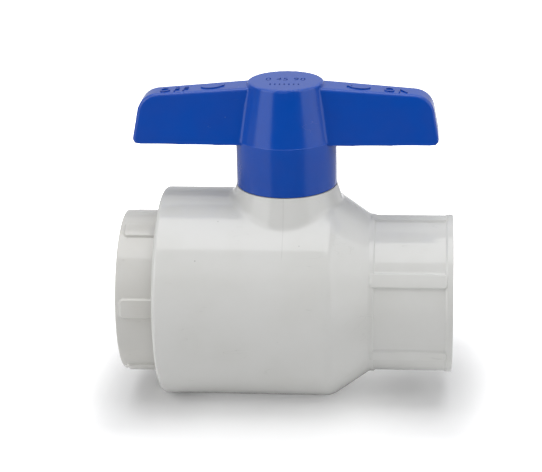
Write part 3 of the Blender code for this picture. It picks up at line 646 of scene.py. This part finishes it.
def body_shell():
    """The body as one closed sheet: turned walls outside and in, with the neck let into the barrel."""
    turns = rib_turns(PANEL_RADIUS, OUTLET_RIB_WIDTH, 0)
    rib_end = END_FACE - OUTLET_RIB_SETBACK
    lift = rib_lift(PANEL_RADIUS, OUTLET_RIB_WIDTH, 0, COLLAR_START, rib_end)
    outside = body_outside()
    window = np.linspace(WINDOW_LOW, WINDOW_HIGH, NECK_ROWS + 1)
    kept = [point for point in outside if not WINDOW_LOW < point[0] < WINDOW_HIGH]
    first = next(index for index, point in enumerate(kept) if point[0] >= WINDOW_HIGH)
    rows = kept[:first] + list(zip(window, outside_radius(window))) + kept[first:]
    rows = with_rows(rows + body_inside(), rib_end_rows(rib_end, -1))
    maker = MeshMaker()
    rings = [maker.add(*about_pipe(np.full(len(turns), x), lift(x, r, turns), turns)) for x, r in rows]
    in_window = np.nonzero(np.abs(turns) <= WINDOW_TURN)[0]
    left, right = in_window[0], in_window[-1]
    low = next(index for index, (x, r) in enumerate(rows) if x == WINDOW_LOW)
    high = low + NECK_ROWS
    beside = np.ones(len(turns), bool)
    beside[left:right] = False
    for index, one in enumerate(rings):
        keep = beside if low <= index < high else slice(None)
        maker.strip(one, rings[(index + 1) % len(rings)], keep)
    grid = np.stack(rings[low : high + 1])[:, left : right + 1]
    across = np.repeat(window[:, None], grid.shape[1], 1)
    around = np.repeat(turns[None, left : right + 1], grid.shape[0], 0)

    def edge_of(values):
        return np.concatenate([values[0, :-1], values[:-1, -1], values[-1, :0:-1], values[:0:-1, 0]])

    add_neck(maker, edge_of(grid), edge_of(across), edge_of(around))
    return maker.build("valve_body_shell")


def make_body(material):
    """The body, with the stem's bore and the two quarter-turn stops."""
    body = body_shell()
    bore = [
        (STEM_BORE_RADIUS, TOWER_TOP + CUT_PAST),
        (STEM_BORE_RADIUS, THRUST_FACE),
        (FLANGE_CHAMBER_RADIUS, THRUST_FACE),
        (FLANGE_CHAMBER_RADIUS, BALL_RADIUS),
    ]
    combine(body, "DIFFERENCE", turned_about_stem("stem_bore", bore, BALL_STEPS))
    inner = STEM_BORE_RADIUS + STOP_INSET
    outer = TOWER_RADIUS - STOP_INSET
    for side in (0, math.pi):
        outline = sector(inner, outer, STOP_TURN + side, STOP_SPAN)
        combine(body, "UNION", prism("stop", outline, TOWER_TOP - CUT_PAST, STOP_TOP))
    dress(body, "body", material, "valve_body")


def make_connector(material):
    """The end connector: grooved spigot, flange, ribbed barrel, socket, waterway and seat pocket."""
    profile = rounded(
        [
            (-POCKET_MOUTH, SPIGOT_RADIUS, 2 * EDGE),
            (RING_GROOVE_HIGH, SPIGOT_RADIUS, 0),
            (RING_GROOVE_HIGH, RING_GROOVE_RADIUS, 0),
            (RING_GROOVE_LOW, RING_GROOVE_RADIUS, 0),
            (RING_GROOVE_LOW, SPIGOT_RADIUS, 0),
            (-FLANGE_FACE, SPIGOT_RADIUS, EDGE),
            (-FLANGE_FACE, BARREL_RADIUS, EDGE),
            (-END_FACE, BARREL_RADIUS, EDGE),
            (-END_FACE, SOCKET_MOUTH_RADIUS + SOCKET_MOUTH_CHAMFER, EDGE),
            (-END_FACE + SOCKET_MOUTH_CHAMFER, SOCKET_MOUTH_RADIUS, EDGE),
            (-SOCKET_FLOOR, SOCKET_FLOOR_RADIUS, EDGE),
            (-SOCKET_FLOOR, WATERWAY_RADIUS, EDGE),
            (-POCKET_FLOOR, WATERWAY_RADIUS, 0),
            (-POCKET_FLOOR, POCKET_RADIUS, 0),
            (-POCKET_MOUTH, POCKET_RADIUS, 0),
        ]
    )
    rib_end = -END_FACE + BARREL_RIB_SETBACK
    profile = with_rows(profile, rib_end_rows(rib_end, 1))
    turns = rib_turns(BARREL_RADIUS, BARREL_RIB_WIDTH, BARREL_RIB_TURN)
    lift = rib_lift(BARREL_RADIUS, BARREL_RIB_WIDTH, BARREL_RIB_TURN, rib_end, 0)
    connector = turned_about_pipe("inlet_end_connector", profile, turns, lift)
    dress(connector, "body", material, "end_connector")


def make_ball(material):
    """The bored ball, with the slot across its top that the stem turns it by."""
    port_angle = math.asin(PORT_RADIUS / BALL_RADIUS)
    arc = np.linspace(port_angle, math.pi - port_angle, BALL_STEPS // 4)
    outside = [(BALL_RADIUS * math.cos(angle), BALL_RADIUS * math.sin(angle), 0) for angle in arc]
    corners = [(*outside[0][:2], EDGE)] + outside[1:-1] + [(*outside[-1][:2], EDGE)]
    turns = np.linspace(0, 2 * math.pi, BALL_STEPS, endpoint=False)
    ball = turned_about_pipe("bored_ball", rounded(corners), turns)
    reach = BALL_RADIUS + CUT_PAST
    slot = rectangle(-SLOT_HALF_WIDTH, -reach, SLOT_HALF_WIDTH, reach)
    combine(ball, "DIFFERENCE", prism("slot", slot, SLOT_FLOOR, reach))
    dress(ball, "ball", material, "ball")


def make_seats(material):
    """The two rings that the ball turns in, each with a round face for it."""
    sphere = BALL_RADIUS + FIT_GAP
    lip_angle = math.acos(SEAT_FRONT / sphere)
    bore_angle = math.asin(WATERWAY_RADIUS / sphere)
    angles = np.linspace(lip_angle, bore_angle, SEAT_FACE_STEPS)
    face = [(sphere * math.cos(angle), sphere * math.sin(angle), 0) for angle in angles]
    back = [(SEAT_BACK, WATERWAY_RADIUS), (SEAT_BACK, SEAT_RADIUS), (SEAT_FRONT, SEAT_RADIUS)]
    profile = rounded(face + [(*corner, EDGE) for corner in back])
    turns = np.linspace(0, 2 * math.pi, BALL_STEPS, endpoint=False)
    for node, side in (("outlet_seat", 1), ("inlet_seat", -1)):
        seat = turned_about_pipe(f"{node}_ring", [(side * x, radius) for x, radius in profile], turns)
        dress(seat, "body", material, node)


def wing_top(x):
    return WING_ROOT_TOP - x * math.tan(WING_FALL)


def wing_half_thickness(x, z):
    return WING_ROOT_HALF_THICKNESS - x * math.tan(WING_TAPER) - (z - WING_BOTTOM) * math.tan(WING_DRAFT)


def hub_radius(z):
    share = (z - SKIRT_TOP) / (HUB_TOP - SKIRT_TOP)
    return HUB_BASE_RADIUS + (HUB_TOP_RADIUS - HUB_BASE_RADIUS) * share


def handle_distance(x, y, z):
    """Distance to the outside of the hub and its two wings, with round blends and edges."""
    along = np.abs(x)
    hub_lean = math.cos(math.atan2(HUB_BASE_RADIUS - HUB_TOP_RADIUS, HUB_TOP - SKIRT_TOP))
    hub = round_overlap((np.hypot(x, y) - hub_radius(z)) * hub_lean, z - HUB_TOP, HUB_TOP_EDGE)
    hub = np.maximum(hub, SKIRT_TOP - z)
    side_lean = 1 / math.sqrt(1 + math.tan(WING_TAPER) ** 2 + math.tan(WING_DRAFT) ** 2)
    side = (np.abs(y) - wing_half_thickness(along, z)) * side_lean
    top = (z - wing_top(along)) * math.cos(WING_FALL)
    past_tip = along - WING_HALF_LENGTH + (z - WING_BOTTOM) * math.tan(WING_TIP_DRAFT)
    tip = past_tip * math.cos(WING_TIP_DRAFT)
    outline = round_overlap(top, tip, WING_TOP_CORNER_ROUND, math.sin(WING_FALL + WING_TIP_DRAFT))
    outline = round_overlap(outline, WING_BOTTOM - z, WING_BOTTOM_CORNER_ROUND, -math.sin(WING_TIP_DRAFT))
    upward = np.clip((z - WING_BOTTOM) / WING_EDGE_REACH, 0, 1)
    edge_round = WING_BOTTOM_ROUND + (WING_EDGE_ROUND - WING_BOTTOM_ROUND) * upward
    wing = round_overlap(outline, side, edge_round, (2 * upward - 1) * math.sin(WING_DRAFT))
    wing = np.maximum(wing, WING_START - along)
    alike = np.clip(np.abs(y) / np.hypot(along, y), 0, MOST_ALIKE)
    fade = np.clip((HUB_TOP - z) / WING_ROOT_FADE, WING_ROOT_LEAST, 1)
    return round_union(hub, wing, WING_ROOT_ROUND * fade, alike)


def drawn_onto(points, distance):
    """Moves points onto the surface where a distance is nought."""
    for _ in range(DRAW_ROUNDS):
        slopes = []
        for nudge in NUDGE * np.eye(3):
            slopes.append((distance(*(points + nudge).T) - distance(*(points - nudge).T)) / (2 * NUDGE))
        slope = np.stack(slopes, -1)
        steepness = np.maximum((slope**2).sum(-1, keepdims=True), LEAST_STEEPNESS)
        points = points - distance(*points.T)[:, None] * slope / steepness
    return points


def surface_of(name, distance, low, high, pitch):
    """A closed mesh where a distance is nought. It has a point in each grid cell that the surface crosses,
    and a face over each grid edge that it crosses. The points are evened out and drawn onto the surface."""
    axes = [np.arange(start - 2 * pitch, end + 3 * pitch, pitch) for start, end in zip(low, high)]
    inside = distance(*np.meshgrid(*axes, indexing="ij")) < 0
    halves = (slice(None, -1), slice(1, None))
    full = sum(inside[a, b, c].astype(int) for a in halves for b in halves for c in halves)
    cells = np.argwhere((full > 0) & (full < 8))
    number = np.full(full.shape, -1)
    number[tuple(cells.T)] = np.arange(len(cells))
    points = np.array([axis[0] for axis in axes]) + (cells + 0.5) * pitch
    faces = []
    for axis in range(3):
        sides = np.moveaxis(inside, axis, 0)
        at = np.moveaxis(number, axis, 0)
        i, j, k = np.nonzero(sides[:-1] != sides[1:])
        faces.append(np.stack([at[i, j - 1, k - 1], at[i, j, k - 1], at[i, j, k], at[i, j - 1, k]], -1))
    faces = np.concatenate(faces)
    ends = np.concatenate([faces, np.roll(faces, 1, 1)]).ravel()
    others = np.concatenate([np.roll(faces, 1, 1), faces]).ravel()
    links = np.bincount(ends, minlength=len(points))[:, None]
    for _ in range(HANDLE_ROUNDS):
        evened = [np.bincount(ends, points[others, axis], len(points)) for axis in range(3)]
        points = drawn_onto((points + np.stack(evened, -1) / links) / 2, distance)
    mesh = bpy.data.meshes.new(name)
    mesh.from_pydata(points.tolist(), [], faces.tolist())
    work = bmesh.new()
    work.from_mesh(mesh)
    bmesh.ops.recalc_face_normals(work, faces=work.faces)
    work.to_mesh(mesh)
    work.free()
    return place(name, mesh)


def wing_pocket(name, low_x, high_x, side):
    """The hollow between two webs under a wing, as a closed block that runs past the wing's bottom."""
    work = bmesh.new()
    bmesh.ops.create_cube(work, size=1)
    for vertex in work.verts:
        x = high_x if vertex.co.x > 0 else low_x
        z = wing_top(x) - WING_WALL if vertex.co.z > 0 else WING_BOTTOM - CUT_PAST
        y = wing_half_thickness(x, z) - WING_WALL
        vertex.co = (side * x, math.copysign(y, vertex.co.y), z)
    bmesh.ops.recalc_face_normals(work, faces=work.faces)
    return place_work(name, work)


def double_d(radius, half_flat):
    """Outline of the stem's drive, a round with two flats."""
    reach = math.asin(half_flat / radius)
    angles = np.linspace(-reach, reach, 1 + math.ceil(2 * reach / ARC_STEP))
    half = [(-radius * math.sin(angle), radius * math.cos(angle)) for angle in angles]
    return half + [(-x, -y) for x, y in half]


def make_handle(material):
    """The T handle: blended hub and wings, the skirt below, and what is hollow inside."""
    reach = (WING_HALF_LENGTH, HUB_BASE_RADIUS)
    low = (-reach[0], -reach[1], WING_BOTTOM)
    high = (reach[0], reach[1], HUB_TOP)
    handle = surface_of("t_handle", handle_distance, low, high, HANDLE_PITCH)
    skirt = rounded(
        [
            (CORE_RADIUS, HUB_TOP - HUB_WALL, 0),
            (hub_radius(HUB_TOP - HUB_WALL) - EDGE, HUB_TOP - HUB_WALL, 0),
            (HUB_BASE_RADIUS + HUB_PROUD, SKIRT_TOP, HUB_STEP_ROUND),
            (SKIRT_TOP_RADIUS, SKIRT_TOP - HUB_STEP, HUB_STEP_ROUND),
            (SKIRT_BOTTOM_RADIUS, SKIRT_BOTTOM, EDGE),
            (CORE_RADIUS, SKIRT_BOTTOM, 0),
        ],
        closed=False,
    )
    combine(handle, "UNION", turned_about_stem("skirt", skirt))
    moat = BOSS_RADIUS + BOSS_MOAT
    slope = (HUB_BASE_RADIUS - HUB_TOP_RADIUS) / (HUB_TOP - SKIRT_TOP)
    moat_top = SKIRT_TOP + max(BOSS_MOAT, (HUB_BASE_RADIUS - HUB_WALL - moat) / slope)
    hollow = [
        (BOSS_RADIUS, BOSS_BOTTOM),
        (BOSS_RADIUS, moat_top),
        (hub_radius(moat_top) - HUB_WALL, moat_top),
        (hub_radius(SKIRT_TOP) - HUB_WALL, SKIRT_TOP),
        (SKIRT_INNER_RADIUS, SKIRT_TOP - HUB_STEP),
        (SKIRT_INNER_RADIUS, SKIRT_BOTTOM - CUT_PAST),
    ]
    combine(handle, "DIFFERENCE", turned_about_stem("hub_hollow", hollow))
    first = HUB_BASE_RADIUS + WING_WEB
    tip = WING_HALF_LENGTH - (wing_top(WING_HALF_LENGTH) - WING_BOTTOM) * math.tan(WING_TIP_DRAFT)
    step = (tip - WING_WALL - first + WING_WEB) / WING_POCKETS
    for side in (1, -1):
        for index in range(WING_POCKETS):
            start = first + index * step
            combine(handle, "DIFFERENCE", wing_pocket("pocket", start, start + step - WING_WEB, side))
    for side in (0, math.pi):
        outline = sector(BOSS_RADIUS - STOP_INSET, SKIRT_INNER_RADIUS + STOP_INSET, side, STOP_SPAN)
        combine(handle, "UNION", prism("stop", outline, TOWER_TOP + FIT_GAP, SKIRT_TOP - CUT_PAST))
    drive = double_d(DRIVE_RADIUS, DRIVE_HALF_FLAT)
    combine(handle, "DIFFERENCE", prism("drive", drive, BOSS_BOTTOM - CUT_PAST, DRIVE_TOP))
    engrave_dial(handle)
    trim_gate(handle)
    dress(handle, "handle_and_stem", material, "handle")


def on_wing(obj, x):
    """Lays a flat piece on the sloping top of a wing, sunk by its root."""
    side = math.copysign(1, x)
    lean = Matrix.Rotation(side * WING_FALL, 4, "Y")
    obj.data.transform(Matrix.Translation((x, MARK_FORWARD, wing_top(abs(x)))) @ lean)


def lettering(text, size, spacing, low, high):
    """Solid upright letters, centred, that reach from one height to another."""
    curve = bpy.data.curves.new(text, "FONT")
    curve.body = text
    curve.size = size
    curve.space_character = spacing
    curve.extrude = (high - low) / 2
    drawn = place(text, curve)
    bpy.context.view_layer.update()
    graph = bpy.context.evaluated_depsgraph_get()
    mesh = bpy.data.meshes.new_from_object(drawn.evaluated_get(graph))
    bpy.data.objects.remove(drawn)
    corners = np.array([vertex.co[:2] for vertex in mesh.vertices])
    middle = (corners.min(0) + corners.max(0)) / 2
    slim = Matrix.Diagonal((LETTER_SLIMNESS, 1, 1, 1))
    mesh.transform(slim @ Matrix.Translation((-middle[0], -middle[1], (low + high) / 2)))
    work = bmesh.new()
    work.from_mesh(mesh)
    bmesh.ops.remove_doubles(work, verts=work.verts, dist=WELD)
    bmesh.ops.recalc_face_normals(work, faces=work.faces)
    work.to_mesh(mesh)
    work.free()
    return mesh


def make_word(text, x, material):
    """A raised word on a wing."""
    mesh = lettering(text, LETTER_SIZE, LETTER_SPACING, -MARK_ROOT, MARK_HEIGHT)
    word = place(f"raised_word_{text.lower()}", mesh)
    on_wing(word, x)
    dress(word, "handle_and_stem", material)


def engrave_dial(handle):
    """Plain degrees and ticks, sunk into the hub's flat top."""
    low = HUB_TOP - DIAL_DEPTH
    numbers = place("dial_numbers", lettering("0 45 90", DIAL_SIZE, DIAL_SPACING, low, HUB_TOP + CUT_PAST))
    numbers.data.transform(Matrix.Translation((0, DIAL_BACK, 0)))
    combine(handle, "DIFFERENCE", numbers)
    for index in range(DIAL_TICKS):
        x = (index - (DIAL_TICKS - 1) / 2) * DIAL_TICK_PITCH
        half = DIAL_TICK_WIDTH / 2
        near = -DIAL_TICK_PLACE
        tick = rectangle(x - half, near, x + half, near + DIAL_TICK_LENGTH)
        combine(handle, "DIFFERENCE", prism("tick", tick, low, HUB_TOP + CUT_PAST))


def trim_gate(handle):
    """Slices off the front of the hub's rim, where the plastic ran into the mould."""
    depth = 4 * GATE_DROP
    knife = prism("gate_knife", rectangle(-HUB_TOP_RADIUS, -depth, HUB_TOP_RADIUS, 0), -depth, depth)
    chord = math.sqrt(HUB_TOP_RADIUS**2 - GATE_HALF_CHORD**2)
    lean = Matrix.Rotation(-GATE_LEAN, 4, "X")
    knife.data.transform(Matrix.Translation((0, -chord, HUB_TOP)) @ lean)
    combine(handle, "DIFFERENCE", knife)


def make_arrow(name, side, material):
    """A raised arc on a wing, with a head that points towards the hub."""
    angles = np.linspace(-ARROW_SPAN / 2, ARROW_SPAN / 2, ARROW_STEPS)
    outer = ARROW_RADIUS + ARROW_WIDTH / 2
    inner = ARROW_RADIUS - ARROW_WIDTH / 2
    tail = [(outer * math.sin(a), -outer * math.cos(a)) for a in angles]
    back = [(inner * math.sin(a), -inner * math.cos(a)) for a in reversed(angles)]
    end = ARROW_SPAN / 2
    head = []
    for outward, onward in ((1, 0), (0, ARROW_HEAD_LENGTH), (-1, 0)):
        radius = ARROW_RADIUS + outward * ARROW_HEAD_WIDTH / 2
        x = radius * math.sin(end) + onward * math.cos(end)
        y = -radius * math.cos(end) + onward * math.sin(end)
        head.append((x, y))
    outline = [(-side * x, y + ARROW_RADIUS - ARROW_FORWARD) for x, y in tail + head + back]
    arrow = prism(name, outline, -MARK_ROOT, MARK_HEIGHT)
    on_wing(arrow, side * ARROW_PLACE)
    dress(arrow, "handle_and_stem", material)


def add(tree, kind, settings=None, **values):
    """Adds a shader node. A value is a number, a colour or the socket that feeds the input of that name."""
    made = tree.nodes.new(kind)
    for name, value in (settings or {}).items():
        setattr(made, name, value)
    for name, value in values.items():
        socket = made.inputs[int(name[1:])] if name[0] == "_" else made.inputs[name.replace("_", " ")]
        if isinstance(value, bpy.types.NodeSocket):
            tree.links.new(value, socket)
        else:
            socket.default_value = value
    return made


def noise(tree, vector, scale, detail=2.0, roughness=0.55):
    made = add(tree, "ShaderNodeTexNoise", Vector=vector, Scale=scale, Detail=detail, Roughness=roughness)
    return made.outputs[0]


def ramp(tree, value, from_low, from_high, to_low=0.0, to_high=1.0):
    """Maps a value from one range to another, held at the ends."""
    made = add(tree, "ShaderNodeMapRange", {"interpolation_type": "SMOOTHSTEP"}, Value=value)
    made.inputs["From Min"].default_value = from_low
    made.inputs["From Max"].default_value = from_high
    made.inputs["To Min"].default_value = to_low
    made.inputs["To Max"].default_value = to_high
    return made.outputs[0]


def maths(tree, operation, a, b):
    return add(tree, "ShaderNodeMath", {"operation": operation}, _0=a, _1=b).outputs[0]


def opposite(tree, share):
    return maths(tree, "SUBTRACT", 1.0, share)


def mix(tree, share, a, b):
    """Mixes two colours, each given as three numbers or as the socket that makes it."""
    made = add(tree, "ShaderNodeMix", {"data_type": "RGBA"}, _0=share)
    for index, value in ((6, a), (7, b)):
        if isinstance(value, bpy.types.NodeSocket):
            tree.links.new(value, made.inputs[index])
        else:
            made.inputs[index].default_value = (*value, 1)
    return made.outputs[2]


def principled(name, specular):
    """A new material, its nodes and its shader."""
    material = bpy.data.materials.new(name)
    material.use_nodes = True
    shader = material.node_tree.nodes["Principled BSDF"]
    shader.inputs["Specular IOR Level"].default_value = specular
    return material, material.node_tree, shader


def specks(tree, at, rarity):
    """Small spots here and there, one at most in each cell of a scattered grid."""
    cells = add(tree, "ShaderNodeTexVoronoi", Vector=at, Scale=SPECK_SCALE)
    spot = ramp(tree, cells.outputs["Distance"], SPECK_SIZE, SPECK_SIZE / 2)
    chosen = add(tree, "ShaderNodeSeparateColor", Color=cells.outputs["Color"]).outputs[0]
    return maths(tree, "MULTIPLY", spot, maths(tree, "GREATER_THAN", chosen, rarity))


def hairlines(tree, at):
    """Fine drawn-out scratches, which keep to patches."""
    stretched = add(tree, "ShaderNodeMapping", Vector=at, Scale=SCRATCH_STRETCH).outputs[0]
    across = maths(tree, "SUBTRACT", noise(tree, stretched, SCRATCH_SCALE), 0.5)
    across = maths(tree, "ABSOLUTE", across, 0.0)
    patches = ramp(tree, noise(tree, at, SCRATCH_PATCH_SCALE), *SCRATCH_PATCH_FROM)
    return maths(tree, "MULTIPLY", ramp(tree, across, *SCRATCH_EDGE), patches)


def darkened(tree, tint, marks, share, shade, brightness):
    """Mixes a darker shade into a colour where there are marks."""
    return mix(tree, maths(tree, "MULTIPLY", marks, share), tint, [brightness * part for part in shade])


def raised(tree, height, marks, by):
    return maths(tree, "ADD", height, maths(tree, "MULTIPLY", marks, by))


def moulded_plastic(name, seam=False):
    """Moulded plastic: faint clouds, rare specks, uneven gloss, and a fine skin with hairline scratches."""
    colour, shade, roughness, specular, speck_rarity = FINISHES[name]
    material, tree, shader = principled(name, specular)
    at = add(tree, "ShaderNodeTexCoord").outputs["Object"]
    # Clouds mix in the finish's shade; on the blue that paler shade is partly a painted reflection
    clouds = ramp(tree, noise(tree, at, CLOUD_SCALE, 4), *CLOUD_FROM)
    tint = mix(tree, clouds, colour, shade)
    scratches = hairlines(tree, at)
    spots = specks(tree, at, speck_rarity)
    tint = darkened(tree, tint, scratches, SCRATCH_SHARE, shade, SCRATCH_BRIGHTNESS)
    tint = darkened(tree, tint, spots, SPECK_SHARE, shade, SPECK_BRIGHTNESS)
    smoothest, roughest = (roughness + spread for spread in GLOSS_SPREAD)
    gloss = ramp(tree, noise(tree, at, GLOSS_SCALE, 4), *GLOSS_FROM, smoothest, roughest)
    gloss = raised(tree, gloss, scratches, SCRATCH_ROUGHNESS)
    height = raised(tree, noise(tree, at, SKIN_SCALE), noise(tree, at, GRAIN_SCALE), GRAIN_SHARE)
    height = raised(tree, height, scratches, SCRATCH_HEIGHT)
    if seam:
        line = mould_seam(tree, at)
        height = raised(tree, height, line, SEAM_HEIGHT)
        tint = darkened(tree, tint, line, SEAM_SHARE, shade, SEAM_BRIGHTNESS)
    bump = add(tree, "ShaderNodeBump", Strength=BUMP_STRENGTH, Distance=BUMP_DISTANCE, Height=height)
    tree.links.new(tint, shader.inputs["Base Color"])
    tree.links.new(gloss, shader.inputs["Roughness"])
    tree.links.new(bump.outputs[0], shader.inputs["Normal"])
    return material


def mould_seam(tree, at):
    """The hairline down the front and back of the neck, where two streams of plastic met in the mould."""
    parts = add(tree, "ShaderNodeSeparateXYZ", Vector=at)
    aside = maths(tree, "ABSOLUTE", parts.outputs["X"], 0.0)
    line = ramp(tree, aside, *SEAM_EDGE)
    return maths(tree, "MULTIPLY", line, ramp(tree, parts.outputs["Z"], *SEAM_FOOT))


def floor_material():
    """White paper that keeps the shadow: it scatters light, and what sees it sees it lifted to white, held
    lower around the object as a painted shadow.
    """
    material = bpy.data.materials.new("studio_floor")
    material.use_nodes = True
    tree = material.node_tree
    tree.nodes.clear()
    scatter = add(tree, "ShaderNodeBsdfDiffuse", Color=FLOOR_WHITE)
    path = add(tree, "ShaderNodeLightPath")
    through = maths(tree, "MAXIMUM", path.outputs["Is Camera Ray"], path.outputs["Is Transmission Ray"])
    mirrored = maths(tree, "MULTIPLY", path.outputs["Is Glossy Ray"], LIFT_MIRRORED)
    seen = maths(tree, "MAXIMUM", through, mirrored)
    at = add(tree, "ShaderNodeTexCoord").outputs["Object"]
    parts = add(tree, "ShaderNodeSeparateXYZ", Vector=at)
    along = maths(tree, "ABSOLUTE", parts.outputs["X"], 0.0)
    across = maths(tree, "ABSOLUTE", parts.outputs["Y"], 0.0)
    # Painted shadow: the lift is held down in a patch around the object, most under the pipe's ends, so the
    # floor there is darker than the lamps' shadow alone makes it
    ends = ramp(tree, along, *PAINTED_SHADOW_ENDS_ALONG)
    painted_shadow_at_ends = maths(tree, "MULTIPLY", ends, ramp(tree, across, *PAINTED_SHADOW_ENDS_ACROSS))
    under = ramp(tree, across, *LIFT_UNDER_ACROSS, LIFT_UNDER, LIFT_FRONT)
    near = maths(tree, "MULTIPLY", under, opposite(tree, painted_shadow_at_ends))
    away_along = ramp(tree, along, *LIFT_ALONG)
    away_across = ramp(tree, across, *LIFT_ACROSS)
    kept = maths(tree, "MULTIPLY", opposite(tree, away_along), opposite(tree, away_across))
    lift = opposite(tree, maths(tree, "MULTIPLY", kept, opposite(tree, near)))
    glow = add(tree, "ShaderNodeEmission", Strength=maths(tree, "MULTIPLY", seen, lift))
    both = add(tree, "ShaderNodeAddShader", _0=scatter.outputs[0], _1=glow.outputs[0])
    output = add(tree, "ShaderNodeOutputMaterial")
    tree.links.new(both.outputs[0], output.inputs["Surface"])
    return material


def make_floor():
    bpy.ops.mesh.primitive_plane_add(size=FLOOR_SIZE, location=(0, 0, FLOOR_HEIGHT))
    floor = bpy.context.object
    floor.name = "floor"
    floor.data.materials.append(floor_material())


def make_flag(name, corners, grey=0.0, fade=None):
    """A dark card that only reflections see. It can fade out between two distances from the axis."""
    material, tree, shader = principled(name, specular=0)
    shader.inputs["Base Color"].default_value = (grey, grey, grey, 1)
    if fade:
        place_seen = add(tree, "ShaderNodeNewGeometry").outputs["Position"]
        forward = add(tree, "ShaderNodeSeparateXYZ", Vector=place_seen).outputs["Y"]
        tree.links.new(ramp(tree, forward, -fade[0], -fade[1], 1.0, 0.0), shader.inputs["Alpha"])
    mesh = bpy.data.meshes.new(name)
    mesh.from_pydata(corners, [], [range(len(corners))])
    mesh.materials.append(material)
    card = place(name, mesh)
    card.visible_camera = False
    card.visible_diffuse = False
    card.visible_shadow = False


def make_flags():
    """Cards on the floor in front and at the sides, and one that stands in front."""
    low = FLOOR_HEIGHT + FLAG_LIFT
    near, far = FLAG_NEAR, FLAG_FAR
    left, right = FLAG_SIDES
    far_edge = [(left * far, -far, low), (right * far, -far, low)]
    right_edge = [(right * near, -near, low), (right * near, -FLAG_FADE[1], low)]
    left_edge = [(left * near, -FLAG_FADE[1], low), (left * near, -near, low)]
    make_flag("floor_flag", [*far_edge, *right_edge, *left_edge], fade=FLAG_FADE)
    make_flag("front_flag", [*far_edge, (right * far, -far, FLAG_TOP), (left * far, -far, FLAG_TOP)])
    for name, side in (("left_flag", -1), ("right_flag", 1)):
        corners = [(side * x, y, low - FLAG_LIFT / 2) for x, y in rectangle(*SIDE_FLAG)]
        make_flag(name, corners, FLAG_GREY)


def make_softbox(name, azimuth, elevation, size, radiance):
    """A flat soft light that faces the object. Its azimuth counts from the front towards the right."""
    around = math.radians(azimuth)
    rise = math.radians(elevation)
    outward = Vector((math.sin(around) * math.cos(rise), -math.cos(around) * math.cos(rise), math.sin(rise)))
    data = bpy.data.lights.new(name, "AREA")
    data.shape = "RECTANGLE"
    data.size, data.size_y = size
    data.energy = radiance * math.pi * size[0] * size[1]
    lamp = place(name, data)
    lamp.location = outward * SOFTBOX_DISTANCE
    lamp.rotation_euler = outward.to_track_quat("Z", "Y").to_euler()


def make_world():
    """Dim light: a dark room low down, a paler wall behind and a pale ceiling. The camera sees white."""
    world = bpy.context.scene.world or bpy.data.worlds.new("studio")
    bpy.context.scene.world = world
    world.use_nodes = True
    tree = world.node_tree
    direction = add(tree, "ShaderNodeTexCoord").outputs["Generated"]
    parts = add(tree, "ShaderNodeSeparateXYZ", Vector=direction)
    wall = ramp(tree, parts.outputs["Y"], *WALL_FROM, ROOM_LEVEL, WALL_LEVEL)
    high = ramp(tree, parts.outputs["Z"], *CEILING_FROM)
    low_part = maths(tree, "MULTIPLY", wall, opposite(tree, high))
    level = maths(tree, "ADD", low_part, maths(tree, "MULTIPLY", high, CEILING_LEVEL))
    path = add(tree, "ShaderNodeLightPath")
    seen = maths(tree, "MAXIMUM", path.outputs["Is Camera Ray"], path.outputs["Is Transmission Ray"])
    tree.links.new(mix(tree, seen, WORLD_TINT, (1, 1, 1)), tree.nodes["Background"].inputs["Color"])
    tree.links.new(maths(tree, "MAXIMUM", level, seen), tree.nodes["Background"].inputs["Strength"])


def make_camera():
    data = bpy.data.cameras.new("camera")
    data.sensor_fit = "HORIZONTAL"
    data.sensor_width = SENSOR_WIDTH
    data.lens = FOCAL_PIXELS / IMAGE_WIDTH * SENSOR_WIDTH
    data.shift_x = CAMERA_SHIFT_PIXELS[0] / IMAGE_WIDTH
    data.shift_y = CAMERA_SHIFT_PIXELS[1] / IMAGE_WIDTH
    data.clip_start = CLIP_START
    camera = place("camera", data)
    axes = Matrix((CAMERA_RIGHT, CAMERA_UP, CAMERA_RIGHT.cross(CAMERA_UP))).transposed()
    camera.matrix_world = Matrix.Translation(CAMERA_PLACE) @ axes.to_4x4()
    bpy.context.scene.camera = camera


def main():
    white = moulded_plastic("white_moulding", seam=True)
    warm_white = moulded_plastic("warm_white_moulding")
    blue = moulded_plastic("blue_moulding")
    seat_white = moulded_plastic("seat_moulding")
    grey = moulded_plastic("stem_moulding")
    rubber = moulded_plastic("rubber")
    make_body(white)
    make_connector(warm_white)
    make_ball(white)
    make_seats(seat_white)
    make_handle(blue)
    make_word("OFF", OFF_PLACE, blue)
    make_word("ON", ON_PLACE, blue)
    make_arrow("raised_arrow_off", -1, blue)
    make_arrow("raised_arrow_on", 1, blue)
    carried_over = {"stem": grey, "stem_thrust_washer": seat_white}
    carried_over.update(dict.fromkeys(RUBBER_RINGS, rubber))
    for name, material in carried_over.items():
        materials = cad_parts[name].data.materials
        materials.clear()
        materials.append(material)
    make_floor()
    for softbox in SOFTBOXES:
        make_softbox(*softbox)
    make_world()
    make_flags()
    make_camera()
    bpy.context.scene.view_settings.view_transform = "Standard"


main()
